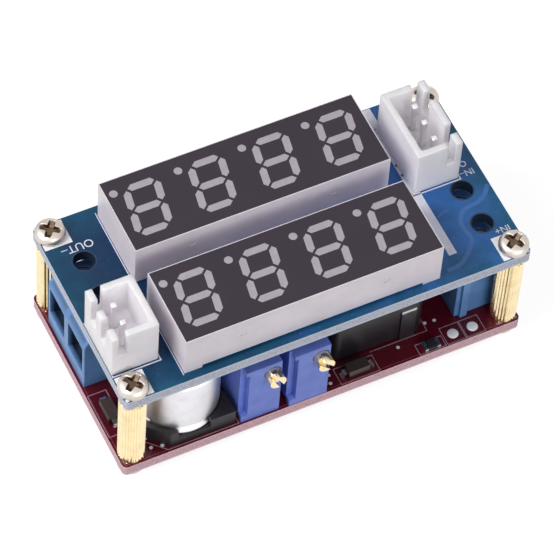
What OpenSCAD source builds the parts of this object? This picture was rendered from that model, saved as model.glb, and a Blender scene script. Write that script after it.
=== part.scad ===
// Step-down converter module: a power board and a display board held apart by four
// knurled standoffs, with screw terminals, trimmers, two four-digit displays and
// two shrouded headers. Millimetres, +Z up; the origin is the middle of the underside.

/* [Boards] */
// Length of both boards
board_l = 51; // [51:0.5:60]
// Width of both boards
board_w = 26; // [26:0.5:32]
// Thickness of each board
board_t = 1.6; // [1.0:0.1:2.4]
// Clear height between the boards, which is the standoffs' length
board_gap = 12; // [12:0.5:20]
// Radius of the boards' corners
corner_r = 0.6; // [0.2:0.1:1]
// Distance of each fixing hole from the two nearest edges
hole_inset = 1.6; // [1.6:0.1:2.2]

/* [Standoffs and screws] */
// Outer diameter of the standoffs over the knurl
standoff_d = 3.2; // [2.8:0.1:3.6]
// Ridges round each standoff
knurl_count = 26; // [12:1:32]
// Depth of the knurl
knurl_depth = 0.14; // [0.05:0.01:0.2]
// Height of the plain ring at each end of a standoff
ring_h = 0.5; // [0.3:0.1:1]
// Diameter of the screw shanks
shank_d = 1.9; // [1.5:0.1:2.1]
// Length of each screw under its head
screw_len = 5; // [4:0.5:7]
// Diameter of the upper screws' heads
head_d = 3.6; // [3:0.1:4]
// Height of the upper screws' heads
head_h = 1.3; // [1:0.1:1.8]
// Diameter of the lower screws' flat heads
low_head_d = 3.2; // [2.8:0.1:3.6]
// Height of the lower screws' flat heads
low_head_h = 0.7; // [0.6:0.1:1.3]
// Width of the cross recess
cross_w = 0.5; // [0.3:0.05:0.8]
// Depth of the cross recess, as a share of the head's height
cross_depth = 0.6; // [0.4:0.05:0.8]

/* [Displays] */
// Length of a display
display_l = 32; // [31:0.5:34]
// Width of a display
display_w = 10.2; // [9.8:0.1:11]
// Height of a display's case
display_h = 6.1; // [5:0.1:8]
// Distance of the displays from the left board edge
display_x = 7.65; // [7.3:0.05:8.2]
// Distance of the front display from the front board edge
display_y = 1.05; // [0.2:0.05:1.5]
// Distance between the two displays' centre lines
display_pitch = 13.45; // [12:0.05:13.6]
// Height of the end feet under a display
display_foot_h = 0.4; // [0.2:0.1:0.8]
// Length of each end foot
display_foot_l = 2.2; // [1.5:0.1:3]
// Depth of the tinted face let into the case
face_t = 0.8; // [0.5:0.1:1.2]
// Rim of the case round the face
face_rim = 0.1; // [0.05:0.05:0.3]
// Distance from digit to digit
digit_pitch = 8.03; // [7.5:0.01:8.1]
// Height of a digit between the middles of its outer bars
digit_h = 6.25; // [5.5:0.05:6.8]
// Width of a digit between the middles of its upright bars
digit_w = 3.75; // [3.2:0.05:4]
// Width of a segment
segment_w = 0.9; // [0.6:0.05:1]
// Gap between neighbouring segments
segment_gap = 0.22; // [0.1:0.02:0.4]
// Lean of the digits in degrees
digit_slant = 10; // [0:1:12]
// Diameter of the decimal points
point_d = 1.0; // [0.6:0.05:1.2]
// Depth of the segments in the face
segment_t = 0.25; // [0.15:0.05:0.4]
// Diameter of the displays' pins
display_pin_d = 0.5; // [0.4:0.05:0.6]
// Distance between the two rows of display pins
display_row_pitch = 7.62; // [7:0.02:8]
// Distance from pin to pin along a row
display_pin_pitch = 2.54; // [2:0.02:2.6]

/* [Shrouded headers] */
// Depth of a header across its pin row
header_d = 5.75; // [5.5:0.05:6.2]
// Height of a header
header_h = 7.0; // [6.5:0.1:8]
// Distance between header pins
header_pitch = 2.5; // [2.4:0.02:2.6]
// Length beyond the outer pins at each end
header_end = 2.45; // [2.3:0.05:2.8]
// Wall of a header
header_wall = 0.85; // [0.6:0.05:1]
// Floor of a header
header_floor = 1.9; // [1:0.1:3]
// Distance of the pin row from the slotted wall's outside
header_pin_inset = 2.4; // [2.2:0.05:2.8]
// Width of the slots in the long wall
header_slot_w = 1.4; // [1:0.1:1.5]
// Distance of those slots from the header's ends
header_slot_end = 1.65; // [1.5:0.05:1.8]
// Depth of the slots and end notches
header_slot_depth = 3.6; // [2:0.1:4.5]
// Width of the notch in each end wall
header_notch_w = 1.0; // [0.6:0.1:1.4]
// Thickness of the square header pins
header_pin_w = 0.64; // [0.5:0.02:0.8]
// Distance of the pin tips below the header's rim
header_pin_below = 0.9; // [0.5:0.1:2]
// Distance of the two-pin header from the left edge
header2_x = 0.05; // [0:0.05:0.4]
// Distance of the two-pin header from the front edge
header2_y = 4.0; // [3.7:0.05:4.6]
// Gap between the three-pin header and the displays
header3_gap = 2.6; // [1.5:0.1:2.9]
// Distance of the three-pin header from the front edge
header3_y = 12.75; // [12.6:0.05:13]
// Length of lead that stands out under a board
tail_len = 1.0; // [0.6:0.1:1.2]
// Clearance round a lead in its hole, on the radius
lead_clear = 0.1; // [0.05:0.05:0.2]

/* [Screw terminals] */
// Distance between a block's two wires
terminal_pitch = 5.08; // [5:0.02:5.2]
// Depth of a block, front to back
terminal_d = 7.1; // [7:0.1:8.4]
// Height of a block
terminal_h = 10; // [9:0.1:11]
// Wall between and beside the wire boxes
terminal_wall = 0.55; // [0.4:0.05:0.7]
// Height of a block's upright front face
terminal_face_h = 7.9; // [7.6:0.1:8.2]
// How far the slope above that face leans back
terminal_slope = 1.1; // [0.6:0.1:1.4]
// Width of the rib that joins a block to its neighbour
dovetail_w = 0.9; // [0.6:0.1:1.2]
// How far that rib stands out
dovetail_out = 0.45; // [0.3:0.05:0.5]
// Floor height of the wire entries
entry_z = 2.5; // [2:0.1:3]
// Height of the wire entries
entry_h = 4.8; // [4:0.1:5]
// Distance of a clamp screw from the block's front face
clamp_inset = 3.36; // [3.2:0.02:3.6]
// Diameter of the clamp screws' heads
clamp_head_d = 3.4; // [3:0.1:3.6]
// Height of the clamp screws' heads
clamp_head_h = 1.2; // [1:0.1:1.6]
// Diameter of the clamp screws' threads
clamp_thread_d = 2.4; // [2:0.1:2.6]
// Thickness of a wire clamp's metal
clamp_t = 0.6; // [0.4:0.1:0.7]
// Travel of a wire clamp
clamp_travel = 1.8; // [1.2:0.1:1.8]
// Diameter of the screwdriver holes in the display board
access_d = 2.6; // [2:0.1:3.2]
// Distance of the output block from the left edge
output_x = 0.3; // [0:0.1:0.4]
// Middle of the output block from the front edge
output_y = 16.95; // [16.8:0.05:17.4]
// Middle of the input block from the front edge
input_y = 8.5; // [8.3:0.05:8.7]

/* [Trimmers] */
// Width of a trimmer across its face
trimmer_w = 4.83; // [4.6:0.01:4.9]
// Depth of a trimmer from face to back
trimmer_d = 10.03; // [9.8:0.01:10.4]
// Height of a trimmer's body
trimmer_h = 9.53; // [9:0.01:10]
// Height of a trimmer's feet
trimmer_foot_h = 0.4; // [0.2:0.05:0.6]
// Left side of the left trimmer
trimmer_x = 14.8; // [14.6:0.05:14.9]
// Gap between the trimmers
trimmer_gap = 1.2; // [0.6:0.05:1.4]
// Set-back of the left trimmer's face from the front edge
left_trimmer_y = 0.25; // [0:0.05:0.4]
// Set-back of the right trimmer's face from the front edge
right_trimmer_y = 0.05; // [0:0.05:0.4]
// Diameter of an adjusting screw
adjuster_d = 2; // [1.8:0.05:2.1]
// How far an adjusting screw stands out of the face
adjuster_out = 1.5; // [0.8:0.1:1.6]
// Distance of an adjusting screw from the body's top
adjuster_drop = 1.7; // [1.2:0.05:2]
// Distance of an adjusting screw from the body's right side
adjuster_side = 1.15; // [1.1:0.05:1.4]
// Slot of an adjusting screw
adjuster_slot = 0.55; // [0.3:0.05:0.6]

/* [Capacitors] */
// Diameter of the output capacitor's can
can_d = 10; // [9.4:0.1:10.2]
// Height of a can over its base
can_h = 9.2; // [7:0.1:9.4]
// How far a square base stands out past its can, on each side
can_lip = 0.15; // [0.1:0.05:0.3]
// Diameter of the input capacitor's can
can2_d = 8; // [7.4:0.1:8.1]
// Thickness of a capacitor's base
can_base_h = 1.1; // [1:0.1:2]
// How far the base's corners rise beside the can
can_corner_h = 1.3; // [0.6:0.1:1.6]
// Chamfer of the base's two marked corners
can_chamfer = 2.2; // [1.5:0.1:3]
// Middle of the output capacitor from the left edge
can1_x = 9.1; // [8.6:0.1:9.2]
// Middle of the output capacitor from the front edge
can1_y = 5.7; // [5.6:0.1:6]
// Middle of the input capacitor from the right edge
can2_x = 5.8; // [5.6:0.1:6]
// Middle of the input capacitor from the back edge
can2_y = 7.6; // [7.5:0.1:7.7]

// Width of the capacitors' soldered leads
can_lead_w = 0.9; // [0.6:0.1:1.2]

/* [Inductor] */
// Side of the inductor's core
coil_side = 12; // [11:0.1:12.2]
// Height of the inductor
coil_h = 8; // [6:0.1:9]
// Front edge of the inductor from the front board edge
coil_y = 3.3; // [3.2:0.1:3.5]
// Gap between the right trimmer and the inductor
coil_gap = 2.2; // [2:0.1:2.4]
// Radius of the core's upright corners
coil_r = 1.3; // [0.8:0.1:1.3]
// Diameter of the winding drum seen in the core's top
drum_d = 8.6; // [7:0.1:9]
// Width of the gap round the drum
drum_gap = 0.5; // [0.3:0.1:0.8]
// Width of the inductor's terminals
coil_clip_w = 1.9; // [1.5:0.1:2]
// Distance of those terminals from the middle of the inductor's side
coil_clip_x = 2.7; // [1:0.1:2.7]
// Height of those terminals
coil_clip_h = 5.7; // [2:0.1:7]

/* [Chips] */
// Length of the regulator's body along the board
reg_l = 8.6; // [8:0.1:9]
// Width of the regulator's body
reg_w = 10; // [9.6:0.1:10.1]
// Height of the regulator's body
reg_h = 4.4; // [4:0.1:4.7]
// Distance from lead to lead on the regulator
reg_pitch = 1.7; // [1.6:0.05:1.8]
// Width of a regulator lead
reg_lead_w = 0.8; // [0.6:0.05:0.9]
// Length of the regulator's leads past the body
reg_lead_l = 4.6; // [4:0.1:5]
// Thickness of the regulator's tab
reg_tab_t = 1.27; // [1:0.01:1.4]
// How far the regulator's tab stands out past the body
reg_tab_out = 1.3; // [0.8:0.1:1.8]
// Gap between the inductor and the regulator behind it
reg_gap = 0.5; // [0.3:0.1:0.6]
// Set-back of the regulator's left side from the inductor's
reg_inset = 2.1; // [1.8:0.1:2.4]
// Length of the catch diode's body
catch_l = 6.9; // [6.6:0.1:7.2]
// Width of the catch diode's body
catch_w = 5.9; // [5.5:0.1:6.2]
// Height of the catch diode's body
catch_h = 2.2; // [2:0.1:2.6]
// Width of the catch diode's terminals
catch_tab_w = 3; // [2.6:0.1:3.2]
// Length of the amplifier's body
amp_l = 4.9; // [4.8:0.05:5]
// Width of the amplifier's body
amp_w = 3.9; // [3.8:0.05:4]
// Height of the amplifier's body
amp_h = 1.45; // [1.3:0.05:1.6]
// Distance from lead to lead on the amplifier
amp_pitch = 1.27; // [1.2:0.01:1.3]
// Length of the controller's body
ctrl_l = 6.5; // [6.4:0.05:6.6]
// Width of the controller's body
ctrl_w = 4.4; // [4.3:0.05:4.5]
// Height of the controller's body
ctrl_h = 1; // [0.8:0.05:1.1]
// Distance from lead to lead on the controller
ctrl_pitch = 0.65; // [0.6:0.01:0.66]
// Thickness of formed leads and tabs
lead_t = 0.25; // [0.15:0.05:0.4]
// Height of the gap under a chip's body
chip_lift = 0.12; // [0.08:0.02:0.2]

/* [Hidden] */
$fn = 48;

// heights, from the underside of the power board
power_top = board_t;
display_under = board_t + board_gap;
display_top = display_under + board_t;

// what stands out past the boards' outline
front_out = max(adjuster_out - min(left_trimmer_y, right_trimmer_y), head_d / 2 - hole_inset);
back_out = max(0, head_d / 2 - hole_inset);

// the frame's origin, from the power board's front left corner on its underside
origin = [board_l / 2, (board_w + back_out - front_out) / 2, -low_head_h];

fixing_holes = [for (x = [hole_inset, board_l - hole_inset], y = [hole_inset, board_w - hole_inset]) [x, y]];
fixing_hole_d = shank_d + 0.3;

// screw terminals: the front face, the direction into the block and the middle of each
output_block = [output_x, output_y, 1];
input_block = [board_l, input_y, -1];
poles = [-terminal_pitch / 2, terminal_pitch / 2];
pole_w = terminal_pitch - 2 * terminal_wall;
clamp_gap = 0.12;
clamp_w = pole_w - 2 * clamp_gap;
clamp_x = [clamp_inset - 2, clamp_inset + 1.7];
cavity_x = [terminal_wall + 0.05, clamp_inset + 3.1];
cavity_z = [entry_z - 0.3, terminal_h - 1.15];
bar_t = 0.5;
bar_z = cavity_z[0] + clamp_t + clamp_travel + 1.0;
bar_w = 1.8;
leg_w = 1.0;
dovetail_x = terminal_d - dovetail_w - 0.55;
groove_play = 0.05;
leg_x = [cavity_x[1] - 1.0, cavity_x[1] - 0.4];
leg_hole_d = sqrt(leg_w * leg_w + pow(leg_x[1] - leg_x[0], 2)) + 2 * lead_clear;
clamp_top_z = bar_z + bar_t + 0.05;
clamp_head_z = clamp_top_z + clamp_t + clamp_travel + 0.05;

// trimmers
trimmer_left = [trimmer_x, trimmer_x + trimmer_w + trimmer_gap];
trimmer_front = [left_trimmer_y, right_trimmer_y];
trimmer_pin_d = 0.5;
trimmer_pin_pitch = 2.54;
trimmer_panel_t = 0.9;
trimmer_pin_first = 2.4;
adjuster_neck_d = adjuster_d - 0.7;
adjuster_in = 4;
adjuster_turn = [-63, -48];
running_gap = 0.06;

// displays
display_front = [display_y, display_y + display_pitch];
digit_columns = [for (i = [0:3]) display_l / 2 + (i - 1.5) * digit_pitch - 0.1];
pin_columns = [for (i = [0:5]) display_l / 2 + (i - 2.5) * display_pin_pitch];
face_z = display_h - face_t;

// headers: left side, front side, number of pins, and the side of the slotted wall
header2 = [header2_x, header2_y, 2, -1];
header3 = [display_x + display_l + header3_gap, header3_y, 3, 1];
header_pin_hole_d = header_pin_w * sqrt(2) + 2 * lead_clear;

// other parts' places on the power board
coil_x = trimmer_left[1] + trimmer_w + coil_gap;
can2_at = [board_l - can2_x, board_w - can2_y];
can_play = 0.1;
reg_x = coil_x + reg_inset;
reg_y = coil_y + coil_side + reg_gap;
shunt_at = [11, 19.2];
catch_at = [18.6, 22];
amplifier_at = [18.6, 15];
edge_diode_at = [1.6, 7.55];
front_diode_at = [30.2, 1.3];
diode_l = 2.7;
controller_at = [12.5, 13.2];
coil_chip_gap = 1.24;
chip_caps = [[12.2, 13.2, 90], [24.4, 12.6, 90], [coil_x + coil_side + coil_chip_gap, 12.6, 90],
    [26.4, 13.6, 0]];
chip_resists = [[39.6, 0.85, 0], [14.4, 13.2, 90], [22.6, 12.6, 90], [14.2, 15.8, 0], [14.2, 17.6, 0]];
chip_cap_h = 0.8;
chip_resist_h = 0.5;
lamp_h = 0.65;
lamps = [[11.4, 24.6, 0], [8.2, 24.6, 0]];
chip_size = [2, 1.25];
end_cap = 0.4;

module in_frame() {
    translate(-origin) children();
}

// ---- small shapes used by several pieces ----

// a rectangle with round corners, from its front left corner
module round_plate(size, r, t) {
    linear_extrude(t) {
        translate([r, 0]) square([size[0] - 2 * r, size[1]]);
        translate([0, r]) square([size[0], size[1] - 2 * r]);
        for (x = [r, size[0] - r], y = [r, size[1] - r]) translate([x, y]) circle(r);
    }
}

// a lead that leaves a body along +Y at height z, steps down and ends in a foot of length foot
module gull_lead(reach, foot, z, w, t) {
    rotate([90, 0, 90]) translate([0, 0, -w / 2]) linear_extrude(w) polygon([
        [0, z], [reach - foot, z], [reach - foot, 0], [reach, 0], [reach, t],
        [reach - foot + t, t], [reach - foot + t, z + t], [0, z + t]]);
}

// a terminal that clips round the end of a moulded diode; the body's end is at y = 0
module wrap_terminal(w, z, t) {
    rotate([90, 0, 90]) translate([0, 0, -w / 2]) linear_extrude(w) polygon([
        [0, z], [t, z], [t, 0], [-1.1, 0], [-1.1, t], [0, t]]);
}

// a moulded body with draft on its long sides, centred, standing on z = 0
module moulded_body(size, draft) {
    l = size[0] / 2;
    w = size[1] / 2;
    h = size[2];
    rotate([90, 0, 90]) translate([0, 0, -l]) linear_extrude(2 * l) polygon([
        [-w + draft, 0], [w - draft, 0], [w, h / 2], [w - draft, h], [-w + draft, h], [-w, h / 2]]);
}

// ---- boards ----

module power_board() {
    color([0.35, 0.03, 0.06]) in_frame() difference() {
        round_plate([board_l, board_w], corner_r, board_t);
        for (p = fixing_holes) through(p, fixing_hole_d, 0);
        for (block = [output_block, input_block], pole = poles)
            through([block[0] + block[2] * (leg_x[0] + leg_x[1]) / 2, block[1] + pole], leg_hole_d, 0);
        for (t = [0, 1], i = [0:2])
            through(trimmer_pin(t, i), trimmer_pin_d + 2 * lead_clear, 0);
    }
}

module display_board() {
    color([0.05, 0.3, 0.5]) in_frame() difference() {
        translate([0, 0, display_under]) round_plate([board_l, board_w], corner_r, board_t);
        for (p = fixing_holes) through(p, fixing_hole_d, display_under);
        for (block = [output_block, input_block], pole = poles)
            through([block[0] + block[2] * clamp_inset, block[1] + pole], access_d, display_under);
        for (h = [header2, header3], i = [0:h[2] - 1])
            through(header_pin(h, i), header_pin_hole_d, display_under);
        for (y = display_front, x = pin_columns, row = [-1, 1])
            through([display_x + x, y + display_w / 2 + row * display_row_pitch / 2],
                display_pin_d + 2 * lead_clear, display_under);
    }
}

// a round hole through a board whose underside is at height z
module through(p, d, z) {
    translate([p[0], p[1], z - 1]) cylinder(h = board_t + 2, d = d);
}

// ---- standoffs and screws ----

module standoffs() {
    color([0.9, 0.75, 0.4]) in_frame() for (p = fixing_holes)
        translate([p[0], p[1], power_top]) difference() {
            union() {
                cylinder(h = board_gap, d = standoff_d - 2 * knurl_depth);
                translate([0, 0, ring_h]) linear_extrude(board_gap - 2 * ring_h) knurl();
            }
            translate([0, 0, -1]) cylinder(h = board_gap + 2, d = shank_d + 0.1);
        }
}

// the knurl's section: pointed ridges, each an equal share of the turn
module knurl() {
    step = 180 / knurl_count;
    polygon([for (i = [0:2 * knurl_count - 1])
        (standoff_d / 2 - (i % 2) * knurl_depth) * [cos(i * step), sin(i * step)]]);
}

// a pan-head screw, head d wide and h high, with a cross recess; the head's underside is at
// z = 0, the shank goes down
module pan_screw(d, h) {
    edge = 0.27 * h;
    arm = 0.6 * d;
    difference() {
        union() {
            rotate_extrude() polygon(concat([[0, 0], [d / 2 - 0.1, 0]],
                [for (a = [0:15:90]) [d / 2 - edge * 1.6 * (1 - cos(a)), h - edge * 2 + edge * 2 * sin(a)]],
                [[0, h]]));
            translate([0, 0, -screw_len]) cylinder(h = screw_len, d = shank_d);
        }
        for (a = [0, 90]) rotate([0, 0, a + 45])
            translate([-arm / 2, -cross_w / 2, h * (1 - cross_depth)]) cube([arm, cross_w, h]);
    }
}

module top_screws() {
    color("silver") in_frame() for (p = fixing_holes)
        translate([p[0], p[1], display_top]) pan_screw(head_d, head_h);
}

module bottom_screws() {
    color("silver") in_frame() for (p = fixing_holes)
        translate([p[0], p[1], 0]) rotate([180, 0, 0]) pan_screw(low_head_d, low_head_h);
}

// ---- screw terminals ----

// places a block: its front face at x = 0, its depth along +X and its middle at y = 0
module at_block(block) {
    in_frame() translate([block[0], block[1], power_top])
        rotate([0, 0, block[2] > 0 ? 0 : 180]) children();
}

module terminal_housing(block) {
    side = terminal_pitch;
    color([0.1, 0.35, 0.6]) at_block(block) difference() {
        union() {
            rotate([90, 0, 0]) translate([0, 0, -side]) linear_extrude(2 * side) polygon([
                [0, 0], [0, terminal_face_h], [terminal_slope, terminal_h], [terminal_d - 1, terminal_h],
                [terminal_d, terminal_h - 1.6], [terminal_d, 0]]);
            translate([dovetail_x, side - 0.1, 0])
                cube([dovetail_w, dovetail_out + 0.1, terminal_h - 1.6]);
        }
        for (y = poles) translate([0, y, 0]) {
            translate([cavity_x[0], -pole_w / 2, cavity_z[0]])
                cube([clamp_x[1] + 0.2 - cavity_x[0], pole_w, cavity_z[1] - cavity_z[0]]);
            translate([cavity_x[0], -bar_w / 2 - 0.3, cavity_z[0]])
                cube([cavity_x[1] - cavity_x[0], bar_w + 0.6, cavity_z[1] - cavity_z[0]]);
            translate([-1, -pole_w / 2, entry_z]) cube([cavity_x[0] + 2, pole_w, entry_h]);
            translate([clamp_inset, 0, cavity_z[1] - 1]) cylinder(h = terminal_h, d = clamp_head_d + 0.2);
            translate([leg_x[0] - 0.1, -leg_w / 2 - 0.1, -1])
                cube([leg_x[1] - leg_x[0] + 0.2, leg_w + 0.2, cavity_z[0] + 2]);
        }
        translate([dovetail_x - groove_play, -side - 1, -1])
            cube([dovetail_w + 2 * groove_play, dovetail_out + groove_play + 1, terminal_h + 2]);
    }
}

module terminal_pins(block) {
    color("silver") at_block(block) for (y = poles) translate([0, y, 0]) {
        translate([clamp_x[0], -bar_w / 2, bar_z]) cube([leg_x[1] - clamp_x[0], bar_w, bar_t]);
        translate([leg_x[0], -leg_w / 2, -board_t - tail_len])
            cube([leg_x[1] - leg_x[0], leg_w, bar_z + board_t + tail_len]);
    }
}

module clamp_screw(block, pole) {
    color("silver") at_block(block) translate([clamp_inset, poles[pole], 0]) difference() {
        union() {
            translate([0, 0, bar_z + bar_t]) cylinder(h = clamp_head_z - bar_z - bar_t, d = clamp_thread_d);
            translate([0, 0, clamp_head_z]) cylinder(h = clamp_head_h, d = clamp_head_d);
        }
        translate([-clamp_head_d, -0.3, clamp_head_z + clamp_head_h - 0.6]) cube([2 * clamp_head_d, 0.6, 1]);
    }
}

module wire_clamp(block, pole) {
    low = cavity_z[0] + 0.05;
    high = clamp_top_z + clamp_t;
    color("gainsboro") at_block(block) translate([0, poles[pole], 0]) difference() {
        translate([clamp_x[0], -clamp_w / 2, low]) cube([clamp_x[1] - clamp_x[0], clamp_w, high - low]);
        translate([clamp_x[0] - 1, -clamp_w / 2 + clamp_t, low + clamp_t])
            cube([clamp_x[1] - clamp_x[0] + 2, clamp_w - 2 * clamp_t, clamp_top_z - low - clamp_t]);
        translate([clamp_inset, 0, clamp_top_z - 1]) cylinder(h = clamp_t + 2, d = clamp_thread_d + 2 * running_gap);
    }
}

module output_terminal_housing() { terminal_housing(output_block); }
module output_terminal_pins() { terminal_pins(output_block); }
module output_screw_1() { clamp_screw(output_block, 0); }
module output_screw_2() { clamp_screw(output_block, 1); }
module output_clamp_1() { wire_clamp(output_block, 0); }
module output_clamp_2() { wire_clamp(output_block, 1); }
module input_terminal_housing() { terminal_housing(input_block); }
module input_terminal_pins() { terminal_pins(input_block); }
module input_screw_1() { clamp_screw(input_block, 0); }
module input_screw_2() { clamp_screw(input_block, 1); }
module input_clamp_1() { wire_clamp(input_block, 0); }
module input_clamp_2() { wire_clamp(input_block, 1); }

// ---- trimmers ----

// place of pin i of trimmer t on the power board
function trimmer_pin(t, i) = [trimmer_left[t] + trimmer_w / 2,
    trimmer_front[t] + trimmer_pin_first + i * trimmer_pin_pitch];

// places a trimmer: face at y = 0, left side at x = 0, standing on the power board
module at_trimmer(t) {
    in_frame() translate([trimmer_left[t], trimmer_front[t], power_top]) children();
}

module trimmer_housing(t) {
    w = trimmer_w;
    h = trimmer_h;
    ear = 0.33;
    step = 0.77;
    color([0.4, 0.48, 0.78]) at_trimmer(t) difference() {
        union() {
            translate([0, trimmer_panel_t, trimmer_foot_h]) cube([w, trimmer_d - trimmer_panel_t, h]);
            translate([0, trimmer_panel_t, trimmer_foot_h]) rotate([90, 0, 0])
                linear_extrude(trimmer_panel_t) polygon([
                    [0, 0], [w, 0], [w, h], [ear, h], [ear, h - 0.7], [step, h - 0.7],
                    [step, 0.7], [0, 0.7]]);
            for (y = [0, trimmer_d - 1]) translate([0, y, 0]) cube([w, 1, trimmer_foot_h + 0.1]);
        }
        translate([w - adjuster_side, adjuster_in + 0.1, trimmer_foot_h + h - adjuster_drop]) rotate([90, 0, 0]) {
            cylinder(h = adjuster_in + 1, d = adjuster_neck_d + 2 * running_gap);
            translate([0, 0, adjuster_in - trimmer_panel_t - 0.5])
                cylinder(h = 3, d = adjuster_d + 2 * running_gap);
        }
        for (i = [0:2]) translate([w / 2, trimmer_pin_first + i * trimmer_pin_pitch, trimmer_foot_h - 0.1])
            cylinder(h = 1.1, d = trimmer_pin_d);
    }
}

module trimmer_screw(t) {
    head = trimmer_panel_t + 0.4 + adjuster_out;
    color("gold") at_trimmer(t)
        translate([trimmer_w - adjuster_side, adjuster_in, trimmer_foot_h + trimmer_h - adjuster_drop])
            rotate([90, 0, 0]) rotate([0, 0, adjuster_turn[t]]) difference() {
                union() {
                    cylinder(h = adjuster_in, d = adjuster_neck_d);
                    translate([0, 0, adjuster_in + adjuster_out - head]) cylinder(h = head, d = adjuster_d);
                }
                translate([-adjuster_d, -adjuster_slot / 2, adjuster_in + adjuster_out - 0.7])
                    cube([2 * adjuster_d, adjuster_slot, 1]);
            }
}

module trimmer_pins(t) {
    color("silver") in_frame() for (i = [0:2]) translate([trimmer_pin(t, i)[0], trimmer_pin(t, i)[1], -tail_len])
        cylinder(h = tail_len + board_t + trimmer_foot_h + 1, d = trimmer_pin_d);
}

module left_trimmer_housing() { trimmer_housing(0); }
module left_trimmer_screw() { trimmer_screw(0); }
module left_trimmer_pins() { trimmer_pins(0); }
module right_trimmer_housing() { trimmer_housing(1); }
module right_trimmer_screw() { trimmer_screw(1); }
module right_trimmer_pins() { trimmer_pins(1); }

// ---- electrolytic capacitors ----

// a can: crimped groove near its foot, rounded shoulder, slightly sunk top
module capacitor_can(d) {
    r = d / 2;
    soft = 0.5;
    rotate_extrude() polygon(concat(
        [[0, 0], [r - 0.2, 0], [r, 0.25], [r, 0.6], [r - 0.5, 0.9], [r - 0.5, 1.15], [r, 1.6]],
        [for (a = [0:15:90]) [r - soft * (1 - cos(a)), can_h - soft * (1 - sin(a))]],
        [[r - 0.9, can_h], [r - 1, can_h - 0.15], [0, can_h - 0.15]]));
}

// the base: a square with two chamfered corners on its -X side and corners raised beside the can
module capacitor_base(d) {
    s = d / 2 + can_lip;
    c = can_chamfer;
    outline = [[-s + c, -s], [s, -s], [s, s], [-s + c, s], [-s, s - c], [-s, -s + c]];
    difference() {
        linear_extrude(can_base_h + can_corner_h) polygon(outline);
        translate([0, 0, can_base_h]) {
            cylinder(h = 5, d = d + 2 * can_play);
            for (a = [0, 90]) rotate([0, 0, a]) translate([-0.2 * d, -d, 0]) cube([0.4 * d, 2 * d, 5]);
        }
        for (a = [0, 180]) rotate([0, 0, a])
            translate([d / 2 - 2.2, -can_lead_w / 2, -1]) cube([d, can_lead_w, 1 + lead_t]);
    }
}

module capacitor_leads(d) {
    for (a = [0, 180]) rotate([0, 0, a])
        translate([d / 2 - 2.2, -can_lead_w / 2, 0]) cube([2.2 + can_lip + 0.3, can_lead_w, lead_t]);
}

module at_can1() {
    in_frame() translate([can1_x, can1_y, power_top]) children();
}

module at_can2() {
    in_frame() translate([can2_at[0], can2_at[1], power_top]) rotate([0, 0, 90]) children();
}

module output_capacitor_can() { color("white") at_can1() translate([0, 0, can_base_h]) capacitor_can(can_d); }
module output_capacitor_base() { color([0.1, 0.1, 0.1]) at_can1() capacitor_base(can_d); }
module output_capacitor_leads() { color("silver") at_can1() capacitor_leads(can_d); }
module input_capacitor_can() { color("white") at_can2() translate([0, 0, can_base_h]) capacitor_can(can2_d); }
module input_capacitor_base() { color([0.1, 0.1, 0.1]) at_can2() capacitor_base(can2_d); }
module input_capacitor_leads() { color("silver") at_can2() capacitor_leads(can2_d); }

// ---- inductor ----

module inductor_core() {
    color([0.12, 0.12, 0.13]) in_frame() translate([coil_x, coil_y, power_top + lead_t]) difference() {
        round_plate([coil_side, coil_side], coil_r, coil_h - lead_t);
        translate([coil_side / 2, coil_side / 2, coil_h - lead_t - 0.8]) difference() {
            cylinder(h = 2, d = drum_d + 2 * drum_gap);
            translate([0, 0, -1]) cylinder(h = 4, d = drum_d);
        }
        translate([coil_side / 2, coil_side / 2, coil_h - lead_t - 0.3]) cylinder(h = 1, d = drum_d);
    }
}

module inductor_terminals() {
    color("silver") in_frame() translate([coil_x + coil_side / 2, coil_y + coil_side / 2, power_top])
        for (a = [0, 180]) rotate([0, 0, a]) translate([coil_clip_x, -coil_side / 2 - lead_t, 0]) {
            cube([coil_clip_w, 2.5 + lead_t, lead_t]);
            cube([coil_clip_w, lead_t, coil_clip_h]);
        }
}

// ---- chips ----

module regulator_body() {
    color([0.12, 0.12, 0.12]) in_frame() translate([reg_x, reg_y, power_top + reg_tab_t]) {
        rotate([90, 0, 0]) translate([0, 0, -reg_w]) linear_extrude(reg_w) polygon([
            [0.3, 0], [reg_l, 0], [reg_l, reg_h - reg_tab_t - 1], [reg_l - 0.5, reg_h - reg_tab_t],
            [0.5, reg_h - reg_tab_t], [0, 1.2]]);
    }
}

module regulator_tab_and_leads() {
    color("silver") in_frame() translate([reg_x, reg_y, power_top]) {
        translate([0.5, 0.1, 0]) cube([reg_l - 0.5 + reg_tab_out, reg_w - 0.2, reg_tab_t]);
        for (i = [-2:2]) translate([0, reg_w / 2 + i * reg_pitch, 0]) rotate([0, 0, 90])
            gull_lead(reg_lead_l, 2.2, 1.8, reg_lead_w, 0.5);
    }
}

module catch_diode_body() {
    color([0.12, 0.12, 0.12]) in_frame() translate([catch_at[0], catch_at[1], power_top + lead_t])
        moulded_body([catch_l, catch_w, catch_h], 0.25);
}

module catch_diode_terminals() {
    color("silver") in_frame() translate([catch_at[0], catch_at[1], power_top])
        for (a = [-90, 90]) rotate([0, 0, a]) translate([0, catch_l / 2, 0])
            wrap_terminal(catch_tab_w, 1.2, lead_t);
}

// a small diode's body, at = [x, y], lying along X or turned
module diode_body(at, turn) {
    in_frame() translate([at[0], at[1], power_top + chip_lift]) rotate([0, 0, turn])
        moulded_body([diode_l, 1.6, 1.1], 0.12);
}

module diode_terminals(at, turn) {
    color("silver") in_frame() translate([at[0], at[1], power_top])
        for (a = [-90, 90]) rotate([0, 0, a + turn]) translate([0, diode_l / 2, 0])
            gull_lead(0.8, 0.4, 0.5, 0.7, 0.15);
}

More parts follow.
